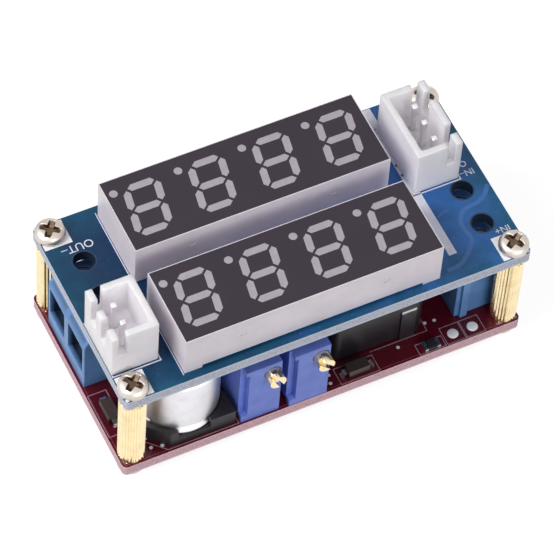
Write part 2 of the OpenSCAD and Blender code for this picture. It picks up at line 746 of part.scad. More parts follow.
module edge_diode_body() { color([0.16, 0.13, 0.12]) diode_body(edge_diode_at, 90); }
module edge_diode_terminals() { diode_terminals(edge_diode_at, 90); }
module front_diode_body() { color([0.35, 0.34, 0.36]) diode_body(front_diode_at, 0); }
module front_diode_terminals() { diode_terminals(front_diode_at, 0); }

module amplifier_body() {
    color([0.12, 0.12, 0.12]) in_frame() translate([amplifier_at[0], amplifier_at[1], power_top + chip_lift])
        moulded_body([amp_l, amp_w, amp_h], 0.15);
}

module amplifier_leads() {
    color("silver") in_frame() translate([amplifier_at[0], amplifier_at[1], power_top])
        for (a = [0, 180], i = [0:3]) rotate([0, 0, a]) translate([(i - 1.5) * amp_pitch, amp_w / 2, 0])
            gull_lead(1.05, 0.6, 0.7, 0.4, 0.2);
}

module controller_body() {
    color([0.12, 0.12, 0.12]) in_frame() translate([controller_at[0], controller_at[1], display_under - chip_lift])
        rotate([180, 0, 0]) moulded_body([ctrl_l, ctrl_w, ctrl_h], 0.1);
}

module controller_leads() {
    color("silver") in_frame() translate([controller_at[0], controller_at[1], display_under])
        rotate([180, 0, 0]) for (a = [0, 180], i = [0:9]) rotate([0, 0, a])
            translate([(i - 4.5) * ctrl_pitch, ctrl_w / 2, 0]) gull_lead(1, 0.5, 0.5, 0.25, 0.15);
}

module current_shunt() {
    color([0.15, 0.15, 0.15]) in_frame() translate([shunt_at[0], shunt_at[1], power_top])
        translate([-1.6, -3.2, 0]) cube([3.2, 6.4, 0.7]);
}

// the middle of a chip part, at place p = [x, y, turn]
module chip_middle(p, h) {
    in_frame() translate([p[0], p[1], power_top]) rotate([0, 0, p[2]])
        translate([-chip_size[0] / 2 + end_cap, -chip_size[1] / 2, 0.02])
            cube([chip_size[0] - 2 * end_cap, chip_size[1], h]);
}

// the two tinned ends of a chip part
module chip_end_pair(p, h) {
    in_frame() translate([p[0], p[1], power_top]) rotate([0, 0, p[2]])
        for (x = [-chip_size[0] / 2, chip_size[0] / 2 - end_cap]) translate([x, -chip_size[1] / 2, 0])
            cube([end_cap, chip_size[1], h + 0.04]);
}

module chip_resistors() { color([0.15, 0.15, 0.15]) for (p = chip_resists) chip_middle(p, chip_resist_h); }
module chip_capacitors() { color([0.6, 0.5, 0.4]) for (p = chip_caps) chip_middle(p, chip_cap_h); }
module status_lamps() { color([0.9, 0.9, 0.8]) for (p = lamps) chip_middle(p, lamp_h); }

module chip_ends() {
    color("silver") {
        for (p = chip_resists) chip_end_pair(p, chip_resist_h);
        for (p = chip_caps) chip_end_pair(p, chip_cap_h);
        for (p = lamps) chip_end_pair(p, lamp_h);
    }
}

// ---- displays ----

// places display i: front left corner of its case, standing on the display board
module at_display(i) {
    in_frame() translate([display_x, display_front[i], display_top]) children();
}

module display_case(i) {
    color([0.9, 0.9, 0.92]) at_display(i) difference() {
        translate([0, 0, 0]) cube([display_l, display_w, display_h]);
        translate([display_foot_l, -1, -1]) cube([display_l - 2 * display_foot_l, display_w + 2, 1 + display_foot_h]);
        translate([face_rim, face_rim, face_z]) cube([display_l - 2 * face_rim, display_w - 2 * face_rim, face_t + 1]);
        for (x = pin_columns, row = [-1, 1])
            translate([x, display_w / 2 + row * display_row_pitch / 2, -1])
                cylinder(h = 1 + display_foot_h + 1.5, d = display_pin_d);
        for (x = [7.1, display_l - 7.1]) translate([x, 0, display_h * 0.6]) rotate([90, 0, 0])
            cylinder(h = 0.3, d = 0.9, center = true);
    }
}

// a point of a digit, leaned over by the slant
function lean(p) = [p[0] + p[1] * tan(digit_slant), p[1]];

// a bar from a to b along its middle line, pointed at both ends
module bar(a, b) {
    d = (b - a) / norm(b - a);
    n = [-d[1], d[0]] * segment_w / 2;
    h = d * segment_w / 2;
    s = d * segment_gap;
    polygon([for (p = [a + s, a + s + h + n, b - s - h + n, b - s, b - s - h - n, a + s + h - n]) lean(p)]);
}

// the seven bars and the point of one digit, about its middle
module digit() {
    w = digit_w / 2;
    h = digit_h / 2;
    for (y = [-h, 0, h]) bar([-w, y], [w, y]);
    for (x = [-w, w], y = [-h, 0]) bar([x, y], [x, y + h]);
    translate([-2.85, h]) circle(d = point_d);
}

module digits() {
    for (x = digit_columns) translate([x, display_w / 2]) digit();
}

module display_face(i) {
    color([0.2, 0.17, 0.22]) at_display(i) difference() {
        translate([face_rim, face_rim, face_z]) cube([display_l - 2 * face_rim, display_w - 2 * face_rim, face_t]);
        translate([0, 0, display_h - segment_t]) linear_extrude(1) digits();
    }
}

module display_segments(i) {
    color([0.75, 0.72, 0.78]) at_display(i) translate([0, 0, display_h - segment_t]) linear_extrude(segment_t) digits();
}

module display_pins(i) {
    color("silver") at_display(i) for (x = pin_columns, row = [-1, 1])
        translate([x, display_w / 2 + row * display_row_pitch / 2, -board_t - tail_len])
            cylinder(h = board_t + tail_len + display_foot_h + 1.5, d = display_pin_d);
}

module back_display_case() { display_case(1); }
module back_display_face() { display_face(1); }
module back_display_segments() { display_segments(1); }
module back_display_pins() { display_pins(1); }
module front_display_case() { display_case(0); }
module front_display_face() { display_face(0); }
module front_display_segments() { display_segments(0); }
module front_display_pins() { display_pins(0); }

// ---- shrouded headers ----

function header_length(h) = (h[2] - 1) * header_pitch + 2 * header_end;

// place of pin i of header h on the display board
function header_pin(h, i) = [h[0] + (h[3] < 0 ? header_pin_inset : header_d - header_pin_inset),
    h[1] + header_end + i * header_pitch];

module shrouded_header(h) {
    len = header_length(h);
    slot_x = h[3] < 0 ? -1 : header_d - header_wall;
    notch_x = h[3] < 0 ? header_wall : header_d - header_wall - header_notch_w;
    top = header_h + 1;
    color("white") in_frame() difference() {
        translate([h[0], h[1], display_top]) difference() {
            cube([header_d, len, header_h]);
            translate([header_wall, header_wall, header_floor])
                cube([header_d - 2 * header_wall, len - 2 * header_wall, top]);
            for (y = [header_slot_end, len - header_slot_end - header_slot_w])
                translate([slot_x, y, header_h - header_slot_depth]) cube([header_wall + 1, header_slot_w, top]);
            for (y = [-1, len - header_wall])
                translate([notch_x, y, header_h - header_slot_depth]) cube([header_notch_w, header_wall + 1, top]);
        }
        for (i = [0:h[2] - 1]) translate([header_pin(h, i)[0], header_pin(h, i)[1], display_top + header_floor / 2])
            cube([header_pin_w, header_pin_w, header_floor + 2], center = true);
    }
}

module header_pins(h) {
    low = display_under - tail_len;
    high = display_top + header_h - header_pin_below;
    color("silver") in_frame() for (i = [0:h[2] - 1])
        translate([header_pin(h, i)[0] - header_pin_w / 2, header_pin(h, i)[1] - header_pin_w / 2, low])
            cube([header_pin_w, header_pin_w, high - low]);
}

module two_pin_header() { shrouded_header(header2); }
module two_pin_header_pins() { header_pins(header2); }
module three_pin_header() { shrouded_header(header3); }
module three_pin_header_pins() { header_pins(header3); }

power_board();
display_board();
standoffs();
top_screws();
bottom_screws();
output_terminal_housing();
output_terminal_pins();
output_screw_1();
output_screw_2();
output_clamp_1();
output_clamp_2();
input_terminal_housing();
input_terminal_pins();
input_screw_1();
input_screw_2();
input_clamp_1();
input_clamp_2();
left_trimmer_housing();
left_trimmer_screw();
left_trimmer_pins();
right_trimmer_housing();
right_trimmer_screw();
right_trimmer_pins();
output_capacitor_can();
output_capacitor_base();
output_capacitor_leads();
input_capacitor_can();
input_capacitor_base();
input_capacitor_leads();
inductor_core();
inductor_terminals();
regulator_body();
regulator_tab_and_leads();
catch_diode_body();
catch_diode_terminals();
edge_diode_body();
edge_diode_terminals();
front_diode_body();
front_diode_terminals();
amplifier_body();
amplifier_leads();
current_shunt();
chip_resistors();
chip_capacitors();
status_lamps();
chip_ends();
back_display_case();
back_display_face();
back_display_segments();
back_display_pins();
front_display_case();
front_display_face();
front_display_segments();
front_display_pins();
two_pin_header();
two_pin_header_pins();
three_pin_header();
three_pin_header_pins();
controller_body();
controller_leads();
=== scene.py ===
"""Finishes the surfaces of a stacked step-down converter module.

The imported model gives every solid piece. This script adds what lies on the surfaces, such as pads,
printed outlines, tracks and solder, and gives each piece its material, the light and the camera.
"""
import math

import bpy
import numpy as np
from mathutils import Matrix, Vector


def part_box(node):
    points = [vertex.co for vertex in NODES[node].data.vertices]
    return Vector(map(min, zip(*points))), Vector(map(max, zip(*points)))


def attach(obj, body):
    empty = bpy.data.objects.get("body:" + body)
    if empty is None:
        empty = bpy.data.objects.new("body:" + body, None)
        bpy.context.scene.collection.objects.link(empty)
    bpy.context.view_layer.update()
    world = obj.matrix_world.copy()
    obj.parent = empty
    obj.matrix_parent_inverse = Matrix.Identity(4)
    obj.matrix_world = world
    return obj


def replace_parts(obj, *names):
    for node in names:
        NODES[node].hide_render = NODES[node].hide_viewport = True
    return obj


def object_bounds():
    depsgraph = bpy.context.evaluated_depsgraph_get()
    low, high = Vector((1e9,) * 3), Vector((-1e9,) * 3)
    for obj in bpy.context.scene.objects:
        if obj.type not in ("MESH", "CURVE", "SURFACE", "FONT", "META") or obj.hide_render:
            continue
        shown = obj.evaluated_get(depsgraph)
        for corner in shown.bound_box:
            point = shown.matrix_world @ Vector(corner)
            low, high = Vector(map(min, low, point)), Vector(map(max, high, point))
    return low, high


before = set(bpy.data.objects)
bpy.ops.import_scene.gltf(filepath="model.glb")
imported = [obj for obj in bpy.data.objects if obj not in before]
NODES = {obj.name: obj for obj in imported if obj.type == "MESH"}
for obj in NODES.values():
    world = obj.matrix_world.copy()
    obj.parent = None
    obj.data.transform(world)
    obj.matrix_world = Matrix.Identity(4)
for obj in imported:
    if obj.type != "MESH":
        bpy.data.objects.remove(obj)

bl_info = {
    "name": "Converter Module Finishes",
    "version": (1, 0, 0),
    "blender": (4, 5, 0),
    "location": "3D View > Sidebar > Module",
    "description": "Surface finishes, print, solder and light for a two-board converter module",
    "category": "Object",
}

CAD_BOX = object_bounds()
BODY = "module"
MM = 0.001

# the power board's front left corner on its underside; every place below is counted from it in mm
CORNER = np.array(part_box("power_board")[0], dtype=float)


def spot(x, y, z=0.0):
    """A place counted in mm from the power board's corner, in the frame's metres."""
    return CORNER + MM * np.array([x, y, z], dtype=float)


def low(node):
    """Lowest corner of a node, in mm from the power board's corner."""
    return (np.array(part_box(node)[0], dtype=float) - CORNER) / MM


def high(node):
    """Highest corner of a node, in mm from the power board's corner."""
    return (np.array(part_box(node)[1], dtype=float) - CORNER) / MM


POWER_TOP = high("power_board")[2]
DISPLAY_UNDER = low("display_board")[2]
DISPLAY_TOP = high("display_board")[2]
BOARD_L, BOARD_W = high("display_board")[:2]
FILM = 0.03  # thickness of print and pads, mm
RISE = 0.012  # height of copper under the lacquer, mm
DOT = 0.02  # height of a via's tinned top, mm
PITCH = 5.08  # from one wire of a terminal block to the next, mm

# the corner screws stand in the middles of the fixing holes
STANDOFF_R = 1.6
INSET = low("standoffs")[0] + STANDOFF_R
CORNERS = [(x, y) for x in (INSET, BOARD_L - INSET) for y in (INSET, BOARD_W - INSET)]
SCREW_TURNS = (38.0, 52.0, 30.0, 44.0)  # turn of the cross in each corner, degrees

# words printed on the display board: the text, its middle and the height of its letters, mm
LABELS = {
    "label_out_minus": ("OUT\u2013", 3.75, 21.6, 1.5),
    "label_out_plus": ("OUT+", 4.6, 12.2, 1.3),
    "label_in_minus": ("IN\u2013", 49.3, 13.1, 1.2),
    "label_in_plus": ("IN+", 49.35, 4.25, 1.2),
}
ROUND_MARK = (49.4, 14.35)

# tracks under the display board's lacquer: the corners of each path and its width, mm
TRACKS = [
    ([(BOARD_L - 0.3, 10.6), (49.6, 9.2), (48.4, 8.7), (46.6, 8.6), (45.6, 7.7), (45.2, 6.2), (45.6, 4.7),
      (45.0, 3.6), (43.9, 2.6), (42.7, 1.7), (40.9, 1.6)], 0.55),
    ([(43.3, 8.7), (44.0, 9.1), (45.0, 9.1)], 0.3),
]

# the power board's printed boxes, from corner to corner, and its vias, mm
PART_BOXES = [((27.7, 0.2), (32.7, 2.5)), ((37.9, 0.15), (41.3, 1.65)), ((0.2, 4.5), (2.5, 10.6))]
POWER_VIAS = [(3.9, 2.8), (4.0, 1.35), (5.3, 1.1), (40.4, 4.0), (41.6, 3.9), (36.0, 2.2), (26.6, 0.9),
              (26.9, 2.0), (13.6, 0.9), (0.9, 12.2), (1.7, 3.6)]

# two round solder-filled pads near the power board's front: their places along it, their distance from
# its front edge and their radius, mm
SOLDER_PADS = (42.75, 45.3)
SOLDER_PAD_Y = 1.35
SOLDER_PAD_R = 0.68

# the face from which each set of pins is soldered, and the radius of its solder, mm
SOLDERED = {
    "two_pin_header_pins": (DISPLAY_UNDER, 0.85),
    "three_pin_header_pins": (DISPLAY_UNDER, 0.85),
    "front_display_pins": (DISPLAY_UNDER, 0.62),
    "back_display_pins": (DISPLAY_UNDER, 0.62),
    "left_trimmer_pins": (0.0, 0.85),
    "right_trimmer_pins": (0.0, 0.85),
    "output_terminal_pins": (0.0, 1.0),
    "input_terminal_pins": (0.0, 1.0),
}
PIN_R = 0.3  # bare middle of a soldered pin's ring, mm

# each lamp's place counted from the module's middle, and the width of its disc, metres
KEY_PLACE, KEY_SIZE = (-0.30, 0.03, 0.31), 0.30
FILL_PLACE, FILL_SIZE = (0.03, -0.38, 0.20), 0.26


# ---------------------------------------------------------------- settings


def colour_prop(name, description, default):
    """A colour that the panel shows."""
    return bpy.props.FloatVectorProperty(
        name=name, description=description, default=default, subtype="COLOR", size=3, min=0.0, max=1.0)


def length_prop(name, description, default_mm):
    """A length that the panel shows, with its default in mm."""
    return bpy.props.FloatProperty(
        name=name, description=description, default=default_mm * MM, unit="LENGTH", min=0.0)


def factor_prop(name, description, default):
    """A share from 0 to 1 that the panel shows."""
    return bpy.props.FloatProperty(
        name=name, description=description, default=default, subtype="FACTOR", min=0.0, max=1.0)


class BoardSettings(bpy.types.PropertyGroup):
    """Colours of the two circuit boards, their print and their pads"""

    display_mask: colour_prop("Display board", "Lacquer over bare laminate", (0.002, 0.030, 0.088))
    # the copper colour is also the painted sheen that brightens the display board towards its right
    display_copper_and_sheen: colour_prop("Display board copper", "Lacquer over copper", (0.028, 0.130, 0.385))
    display_track: colour_prop("Display board tracks", "Lacquer over raised tracks", (0.032, 0.140, 0.400))
    display_teal: colour_prop("Display board edge", "Thinner lacquer near the outline", (0.003, 0.080, 0.160))
    power_mask: colour_prop("Power board", "Lacquer over bare laminate", (0.044, 0.003, 0.007))
    # the copper colour is also the painted sheen that brightens the power board towards its right
    power_copper_and_sheen: colour_prop("Power board copper", "Lacquer over copper", (0.085, 0.004, 0.012))
    display_core: colour_prop("Display board laminate", "Cut edge of the display board", (0.66, 0.70, 0.82))
    power_core: colour_prop("Power board laminate", "Cut edge of the power board", (0.84, 0.54, 0.60))
    display_lip: colour_prop("Display board rim", "Lacquer at the display board's edge", (0.62, 0.74, 0.86))
    power_lip: colour_prop("Power board rim", "Lacquer at the power board's edge", (0.92, 0.52, 0.60))
    # a thin paler line drawn just inside the power board's edge
    power_rim: colour_prop("Power board outline", "Worn line along its edge", (0.22, 0.06, 0.08))
    hole_rim: colour_prop("Access hole rims", "Bare ring round an access hole", (0.026, 0.055, 0.125))
    ink: colour_prop("Print", "White printed lines", (0.74, 0.76, 0.88))
    power_ink: colour_prop("Power board print", "Thin print on the power board", (0.34, 0.23, 0.27))
    gloss: factor_prop("Lacquer roughness", "Roughness of the lacquer", 0.26)
    line: length_prop("Line width", "Width of a printed line", 0.15)


class MetalSettings(bpy.types.PropertyGroup):
    """Colours of the metal pieces"""

    brass: colour_prop("Brass", "Standoffs and adjusting screws", (0.96, 0.80, 0.50))
    nickel: colour_prop("Nickel", "Corner screws", (0.68, 0.62, 0.57))
    tarnish: colour_prop("Dull nickel", "Dull patches of the corner screws", (0.54, 0.47, 0.42))
    # painted shade: the dark colour inside a screw's cross recess
    recess: colour_prop("Recess", "Worn plating inside a screw's cross", (0.17, 0.115, 0.075))
    tin: colour_prop("Tin", "Pins, leads and solder", (0.78, 0.78, 0.80))
    # painted reflection: the pads get this matt near-white in place of tin's mirror-like reflection
    pad: colour_prop("Pads", "Tinned corner pads and solder-filled pads", (0.92, 0.92, 0.96))
    header_pin: colour_prop("Header pins", "Pins of the shrouded headers", (0.90, 0.88, 0.90))
    header_shade: colour_prop("Dull header pins", "Dull patches of those pins", (0.80, 0.77, 0.80))
    zinc: colour_prop("Zinc", "Terminal screws and clamps", (0.70, 0.70, 0.72))
    can: colour_prop("Can", "Capacitor cans", (0.82, 0.81, 0.84))


class PlasticSettings(bpy.types.PropertyGroup):
    """Colours of the moulded pieces"""

    nylon: colour_prop("Nylon", "Shrouded headers", (0.93, 0.89, 0.93))
    case: colour_prop("Case", "Display cases", (0.86, 0.80, 0.86))
    face: colour_prop("Face", "Display faces", (0.036, 0.026, 0.040))
    bar: colour_prop("Digit bars", "Unlit bars of the digits", (0.44, 0.40, 0.45))
    terminal: colour_prop("Terminals", "Screw terminal housings", (0.110, 0.270, 0.580))
    trimmer: colour_prop("Trimmers", "Trimmer housings", (0.155, 0.235, 0.74))
    terminal_dark: colour_prop("Wire boxes", "Shade deep inside the terminals", (0.002, 0.008, 0.03))
    diode: colour_prop("Diodes", "Small diodes", (0.050, 0.032, 0.030))
    ceramic: colour_prop("Chip capacitors", "Ceramic of the chip capacitors", (0.33, 0.22, 0.14))
    lamp: colour_prop("Status lamps", "Resin of the status lamps", (0.75, 0.74, 0.62))
    black: colour_prop("Black", "Chips, capacitor bases and inductor", (0.012, 0.010, 0.014))


class StageSettings(bpy.types.PropertyGroup):
    """Camera and light"""

    azimuth: bpy.props.FloatProperty(
        name="Azimuth", description="Camera's turn round the module", default=math.radians(-29.552),
        subtype="ANGLE")
    elevation: bpy.props.FloatProperty(
        name="Elevation", description="Camera's height over the horizon", default=math.radians(55.26),
        subtype="ANGLE")
    roll: bpy.props.FloatProperty(
        name="Roll", description="Camera's turn about its own axis", default=math.radians(4.751),
        subtype="ANGLE")
    distance: length_prop("Distance", "From the camera to its aim", 450.95)
    aim: bpy.props.FloatVectorProperty(
        name="Aim", description="Point that the camera looks at", default=tuple(spot(25.233, 13.053, 7.941)),
        subtype="TRANSLATION", size=3)
    lens: bpy.props.FloatProperty(
        name="Lens", description="Focal length in millimetres", default=253.26, unit="CAMERA")
    key: bpy.props.FloatProperty(name="Key light", description="Power of the main lamp", default=1.5,
                                 unit="POWER")
    fill: bpy.props.FloatProperty(name="Fill light", description="Power of the second lamp", default=0.78,
                                  unit="POWER")
    sky: bpy.props.FloatProperty(name="Sky", description="Strength of the surrounding light", default=0.3)


SETTINGS = {
    "module_board": BoardSettings,
    "module_metal": MetalSettings,
    "module_plastic": PlasticSettings,
    "module_stage": StageSettings,
}


# ---------------------------------------------------------------- surfaces


def grid_faces(rows, columns, close_rows=False, close_columns=False):
    """Corner numbers of the quads of a grid whose points are numbered row by row."""
    r = np.arange(rows if close_rows else rows - 1)[:, None]
    c = np.arange(columns if close_columns else columns - 1)[None, :]
    r1, c1 = (r + 1) % rows, (c + 1) % columns
    quads = np.stack([r * columns + c, r * columns + c1, r1 * columns + c1, r1 * columns + c], axis=-1)
    return quads.reshape(-1, 4)


def skin(grid, close_rows=False, close_columns=False):
    """(points, faces) of a grid of points of shape rows x columns x 3."""
    rows, columns = grid.shape[:2]
    return grid.reshape(-1, 3), grid_faces(rows, columns, close_rows, close_columns).tolist()


def joined(shapes):
    """Many (points, faces) as one."""
    points = []
    faces = []
    start = 0
    for p, f in shapes:
        points.append(p)
        faces.extend([[i + start for i in face] for face in f])
        start += len(p)
    return np.concatenate(points), faces


def plate(outline, z, thickness):
    """A flat plate: the outline, anticlockwise, at height z and again one thickness higher, with a
    wall between them and one face on each side."""
    outline = np.asarray(outline, dtype=float)
    n = len(outline)
    heights = np.array([z, z + thickness])
    grid = np.concatenate([np.broadcast_to(outline, (2, n, 2)), np.broadcast_to(
        heights[:, None, None], (2, n, 1))], axis=2)
    points, walls = skin(grid, close_columns=True)
    return points, walls + [list(range(n))[::-1], list(range(n, 2 * n))]


def rectangle(x0, y0, x1, y1):
    """The four corners of a rectangle, anticlockwise."""
    return np.array([[x0, y0], [x1, y0], [x1, y1], [x0, y1]], dtype=float)


def ribbon(path, width, z, thickness=FILM, closed=False):
    """A strip with a square section carried along a path. At each point the two edges stand half a
    width off along the mean of the neighbouring normals, divided by the cosine of half the bend."""
    path = np.asarray(path, dtype=float)
    ahead = np.roll(path, -1, axis=0) - path
    behind = path - np.roll(path, 1, axis=0)
    if not closed:
        ahead[-1] = behind[-1]
        behind[0] = ahead[0]
    ahead /= np.linalg.norm(ahead, axis=1, keepdims=True)
    behind /= np.linalg.norm(behind, axis=1, keepdims=True)
    normal = np.stack([-(ahead + behind)[:, 1], (ahead + behind)[:, 0]], axis=1)
    normal /= np.linalg.norm(normal, axis=1, keepdims=True)
    side = np.stack([-ahead[:, 1], ahead[:, 0]], axis=1)
    normal *= width / 2 / np.sum(normal * side, axis=1, keepdims=True)
    left, right = path + normal, path - normal
    n = len(path)
    flat = np.stack([right, left, left, right], axis=1)
    heights = np.array([z, z, z + thickness, z + thickness])
    grid = np.concatenate([flat, np.broadcast_to(heights[None, :, None], (n, 4, 1))], axis=2)
    points, faces = skin(grid[:, ::-1], close_rows=closed, close_columns=True)
    if not closed:
        last = 4 * (n - 1)
        faces += [[3, 2, 1, 0], [last, last + 1, last + 2, last + 3]]
    return points, faces


def lathe(profile, x, y, z, steps=48):
    """A profile of (radius, height) pairs turned round an upright axis; a radius of zero closes it."""
    profile = np.asarray(profile, dtype=float)
    a = np.linspace(0, 2 * math.pi, steps, endpoint=False)
    r, h = profile[:, :1], profile[:, 1:]
    grid = np.stack([x + r * np.cos(a), y + r * np.sin(a), z + h + 0 * a], axis=-1)
    return skin(grid, close_columns=True)


def disc(x, y, z, radius, thickness, steps):
    """A flat round dot."""
    return lathe([(0, 0), (radius, 0), (radius, thickness), (0, thickness)], x, y, z, steps)


def solder_cone(x, y, z, radius, drop, pin):
    """A fillet of solder round a pin under a board: the radius falls from the pad's to the pin's along a
    concave curve, r = pin + (radius - pin) (1 - t) squared, while the depth grows as t, and a blunt tip
    closes it."""
    tip = 0.08
    t = np.linspace(0, 1, 8)
    r = pin + (radius - pin) * (1 - t) ** 2
    profile = np.stack([np.append(0, r), np.append(0, -drop * t)], axis=1)
    profile = np.concatenate([profile, [[0, -drop - tip]]])
    return lathe(profile, x, y, z, 20)


def screw_head(x, y, z, radius, head, up, turn):
    """A pan head with a cross recess and its shank, and how deep each point lies in the recess, from 0
    to 1. The head's height at radius r falls by a round shoulder, and it is cut by a cross: the depth
    is a ramp from the arm's end to the middle, times a smooth step across an arm that narrows
    outwards. Up is 1 for a head on top and -1 for one below."""
    shank, length = 0.95, 5.0
    flat = 0.72  # share of the radius with evenly spaced rings
    crown, fall, curve = 0.3, 0.62, 2.8  # where the shoulder starts, how far it falls, and its power
    reach, arm, taper = 0.7, 0.27, 0.03  # the cross: an arm's length and half width, as shares of the radius
    slope, wall_w, sink = 0.4, 0.13, 0.45  # its ramp's and walls' shares of the radius, its depth of the head
    rings = radius * np.append(np.linspace(0.0, flat, 46), flat + (1 - flat) * np.sin(
        np.linspace(0.04, 1, 14) * math.pi / 2))
    r, a = np.meshgrid(rings, np.linspace(0, 2 * math.pi, 160, endpoint=False), indexing="ij")
    shoulder = np.clip((r / radius - crown) / (1 - crown), 0, 1)
    height = head * (1 - fall * (1 - np.sqrt(np.clip(1 - shoulder ** curve, 0, 1))))
    b = a - math.radians(turn)
    u, v = np.abs(r * np.cos(b)), np.abs(r * np.sin(b))
    across, along = np.minimum(u, v), np.maximum(u, v)
    end = reach * radius
    half = (arm - taper * along / end) * radius
    ramp = np.clip((end - along) / (slope * radius), 0, 1) ** 0.7
    wall = np.clip((half - across) / (wall_w * radius), 0, 1)
    recess = ramp * wall * wall * (3 - 2 * wall)
    height = height - sink * head * recess
    height[0], recess[0] = height[0].mean(), recess[0].mean()
    dome = np.stack([r * np.cos(a), r * np.sin(a), height], axis=-1)
    rim = np.array([[radius, 0.1], [radius - 0.08, 0.0], [shank, 0.0], [shank, -length], [0.0, -length]])
    under = np.stack([rim[:, :1] * np.cos(a[0]), rim[:, :1] * np.sin(a[0]), rim[:, 1:] + 0 * a[0]], axis=-1)
    grid = np.concatenate([dome, under], axis=0)[::-1]
    depth = np.concatenate([recess, np.zeros((len(rim), a.shape[1]))], axis=0)[::-1]
    grid = np.stack([x + grid[..., 0], y + up * grid[..., 1], z + up * grid[..., 2]], axis=-1)
    return skin(grid, close_columns=True), depth.ravel()


def rounded(path, rounds=2):
    """A path with its inner corners cut: each round puts two points on every stretch, a quarter from
    either end, and drops the corner between them."""
    path = np.asarray(path, dtype=float)
    for _ in range(rounds):
        near = 0.75 * path[:-1] + 0.25 * path[1:]
        far = 0.25 * path[:-1] + 0.75 * path[1:]
        path = np.concatenate([path[:1], np.stack([near, far], axis=1).reshape(-1, 2)[1:-1], path[-1:]])
    return path


def ring(x, y, z, inner, outer, thickness=FILM):
    """A flat washer round an upright axis: a rectangular section turned in 36 steps."""
    a = np.linspace(0, 2 * math.pi, 36, endpoint=False)
    section = np.array([[inner, 0], [outer, 0], [outer, thickness], [inner, thickness]])
    grid = np.stack([x + section[:, :1] * np.cos(a), y + section[:, :1] * np.sin(a),
                     z + section[:, 1:] + 0 * a], axis=-1)
    return skin(grid, close_rows=True, close_columns=True)


def pin_places(node):
    """Middles, seen from above, of a node's separate pins: the corners of their lowest ends, gathered
    by nearness."""
    end, apart = 0.2, 1.3
    mesh = NODES[node].data
    flat = np.empty(3 * len(mesh.vertices))
    mesh.vertices.foreach_get("co", flat)
    points = (flat.reshape(-1, 3) - CORNER) / MM
    tail = points[points[:, 2] < points[:, 2].min() + end][:, :2]
    found = []
    while len(tail):
        near = np.linalg.norm(tail - tail[0], axis=1) < apart
        box = tail[near]
        found.append((box.min(axis=0) + box.max(axis=0)) / 2)
        tail = tail[~near]
    return found


def piece(name, shape, material, smooth=None, values=None):
    """A new mesh object from (points, faces) in mm from the power board's corner, riding on the module.
    Smooth is the angle in degrees past which its edges stay sharp. Values, one for each point, are kept
    as the attribute that the material reads."""
    points, faces = shape
    mesh = bpy.data.meshes.new(name)
    mesh.from_pydata((CORNER + MM * np.asarray(points)).tolist(), [], faces)
    mesh.update()
    if values is not None:
        mesh.attributes.new("depth", "FLOAT", "POINT").data.foreach_set("value", values.astype(np.float32))
    obj = bpy.data.objects.new(name, mesh)
    bpy.context.scene.collection.objects.link(obj)
    mesh.materials.append(material)
    if smooth is not None:
        mesh.polygons.foreach_set("use_smooth", [True] * len(mesh.polygons))
        mesh.set_sharp_from_angle(angle=math.radians(smooth))
    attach(obj, BODY)
    return obj


def lettering(name, text, x, y, z, size, turn, material):
    """Flat lettering of a size in mm round a middle, turned by degrees, and made a mesh before it is put
    in place."""
    curve = bpy.data.curves.new(name, "FONT")
    curve.body = text
    curve.size = size * MM
    curve.extrude = 0.5 * FILM * MM
    curve.resolution_u = 3
    curve.align_x = "CENTER"
    curve.align_y = "CENTER"
    holder = bpy.data.objects.new(name + "_curve", curve)
    bpy.context.scene.collection.objects.link(holder)
    bpy.context.view_layer.update()
    mesh = bpy.data.meshes.new_from_object(holder.evaluated_get(bpy.context.evaluated_depsgraph_get()))
    bpy.data.objects.remove(holder)
    flat = np.empty(3 * len(mesh.vertices))
    mesh.vertices.foreach_get("co", flat)
    flat = flat.reshape(-1, 3)
    c, s = math.cos(math.radians(turn)), math.sin(math.radians(turn))
    turned = flat @ np.array([[c, s, 0], [-s, c, 0], [0, 0, 1]])
    turned += spot(x, y, z + 0.5 * FILM)
    mesh.vertices.foreach_set("co", turned.ravel())
    mesh.update()
    mesh.name = name
    mesh.materials.clear()
    mesh.materials.append(material)
    obj = bpy.data.objects.new(name, mesh)
    bpy.context.scene.collection.objects.link(obj)
    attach(obj, BODY)
    return obj


# ---------------------------------------------------------------- materials


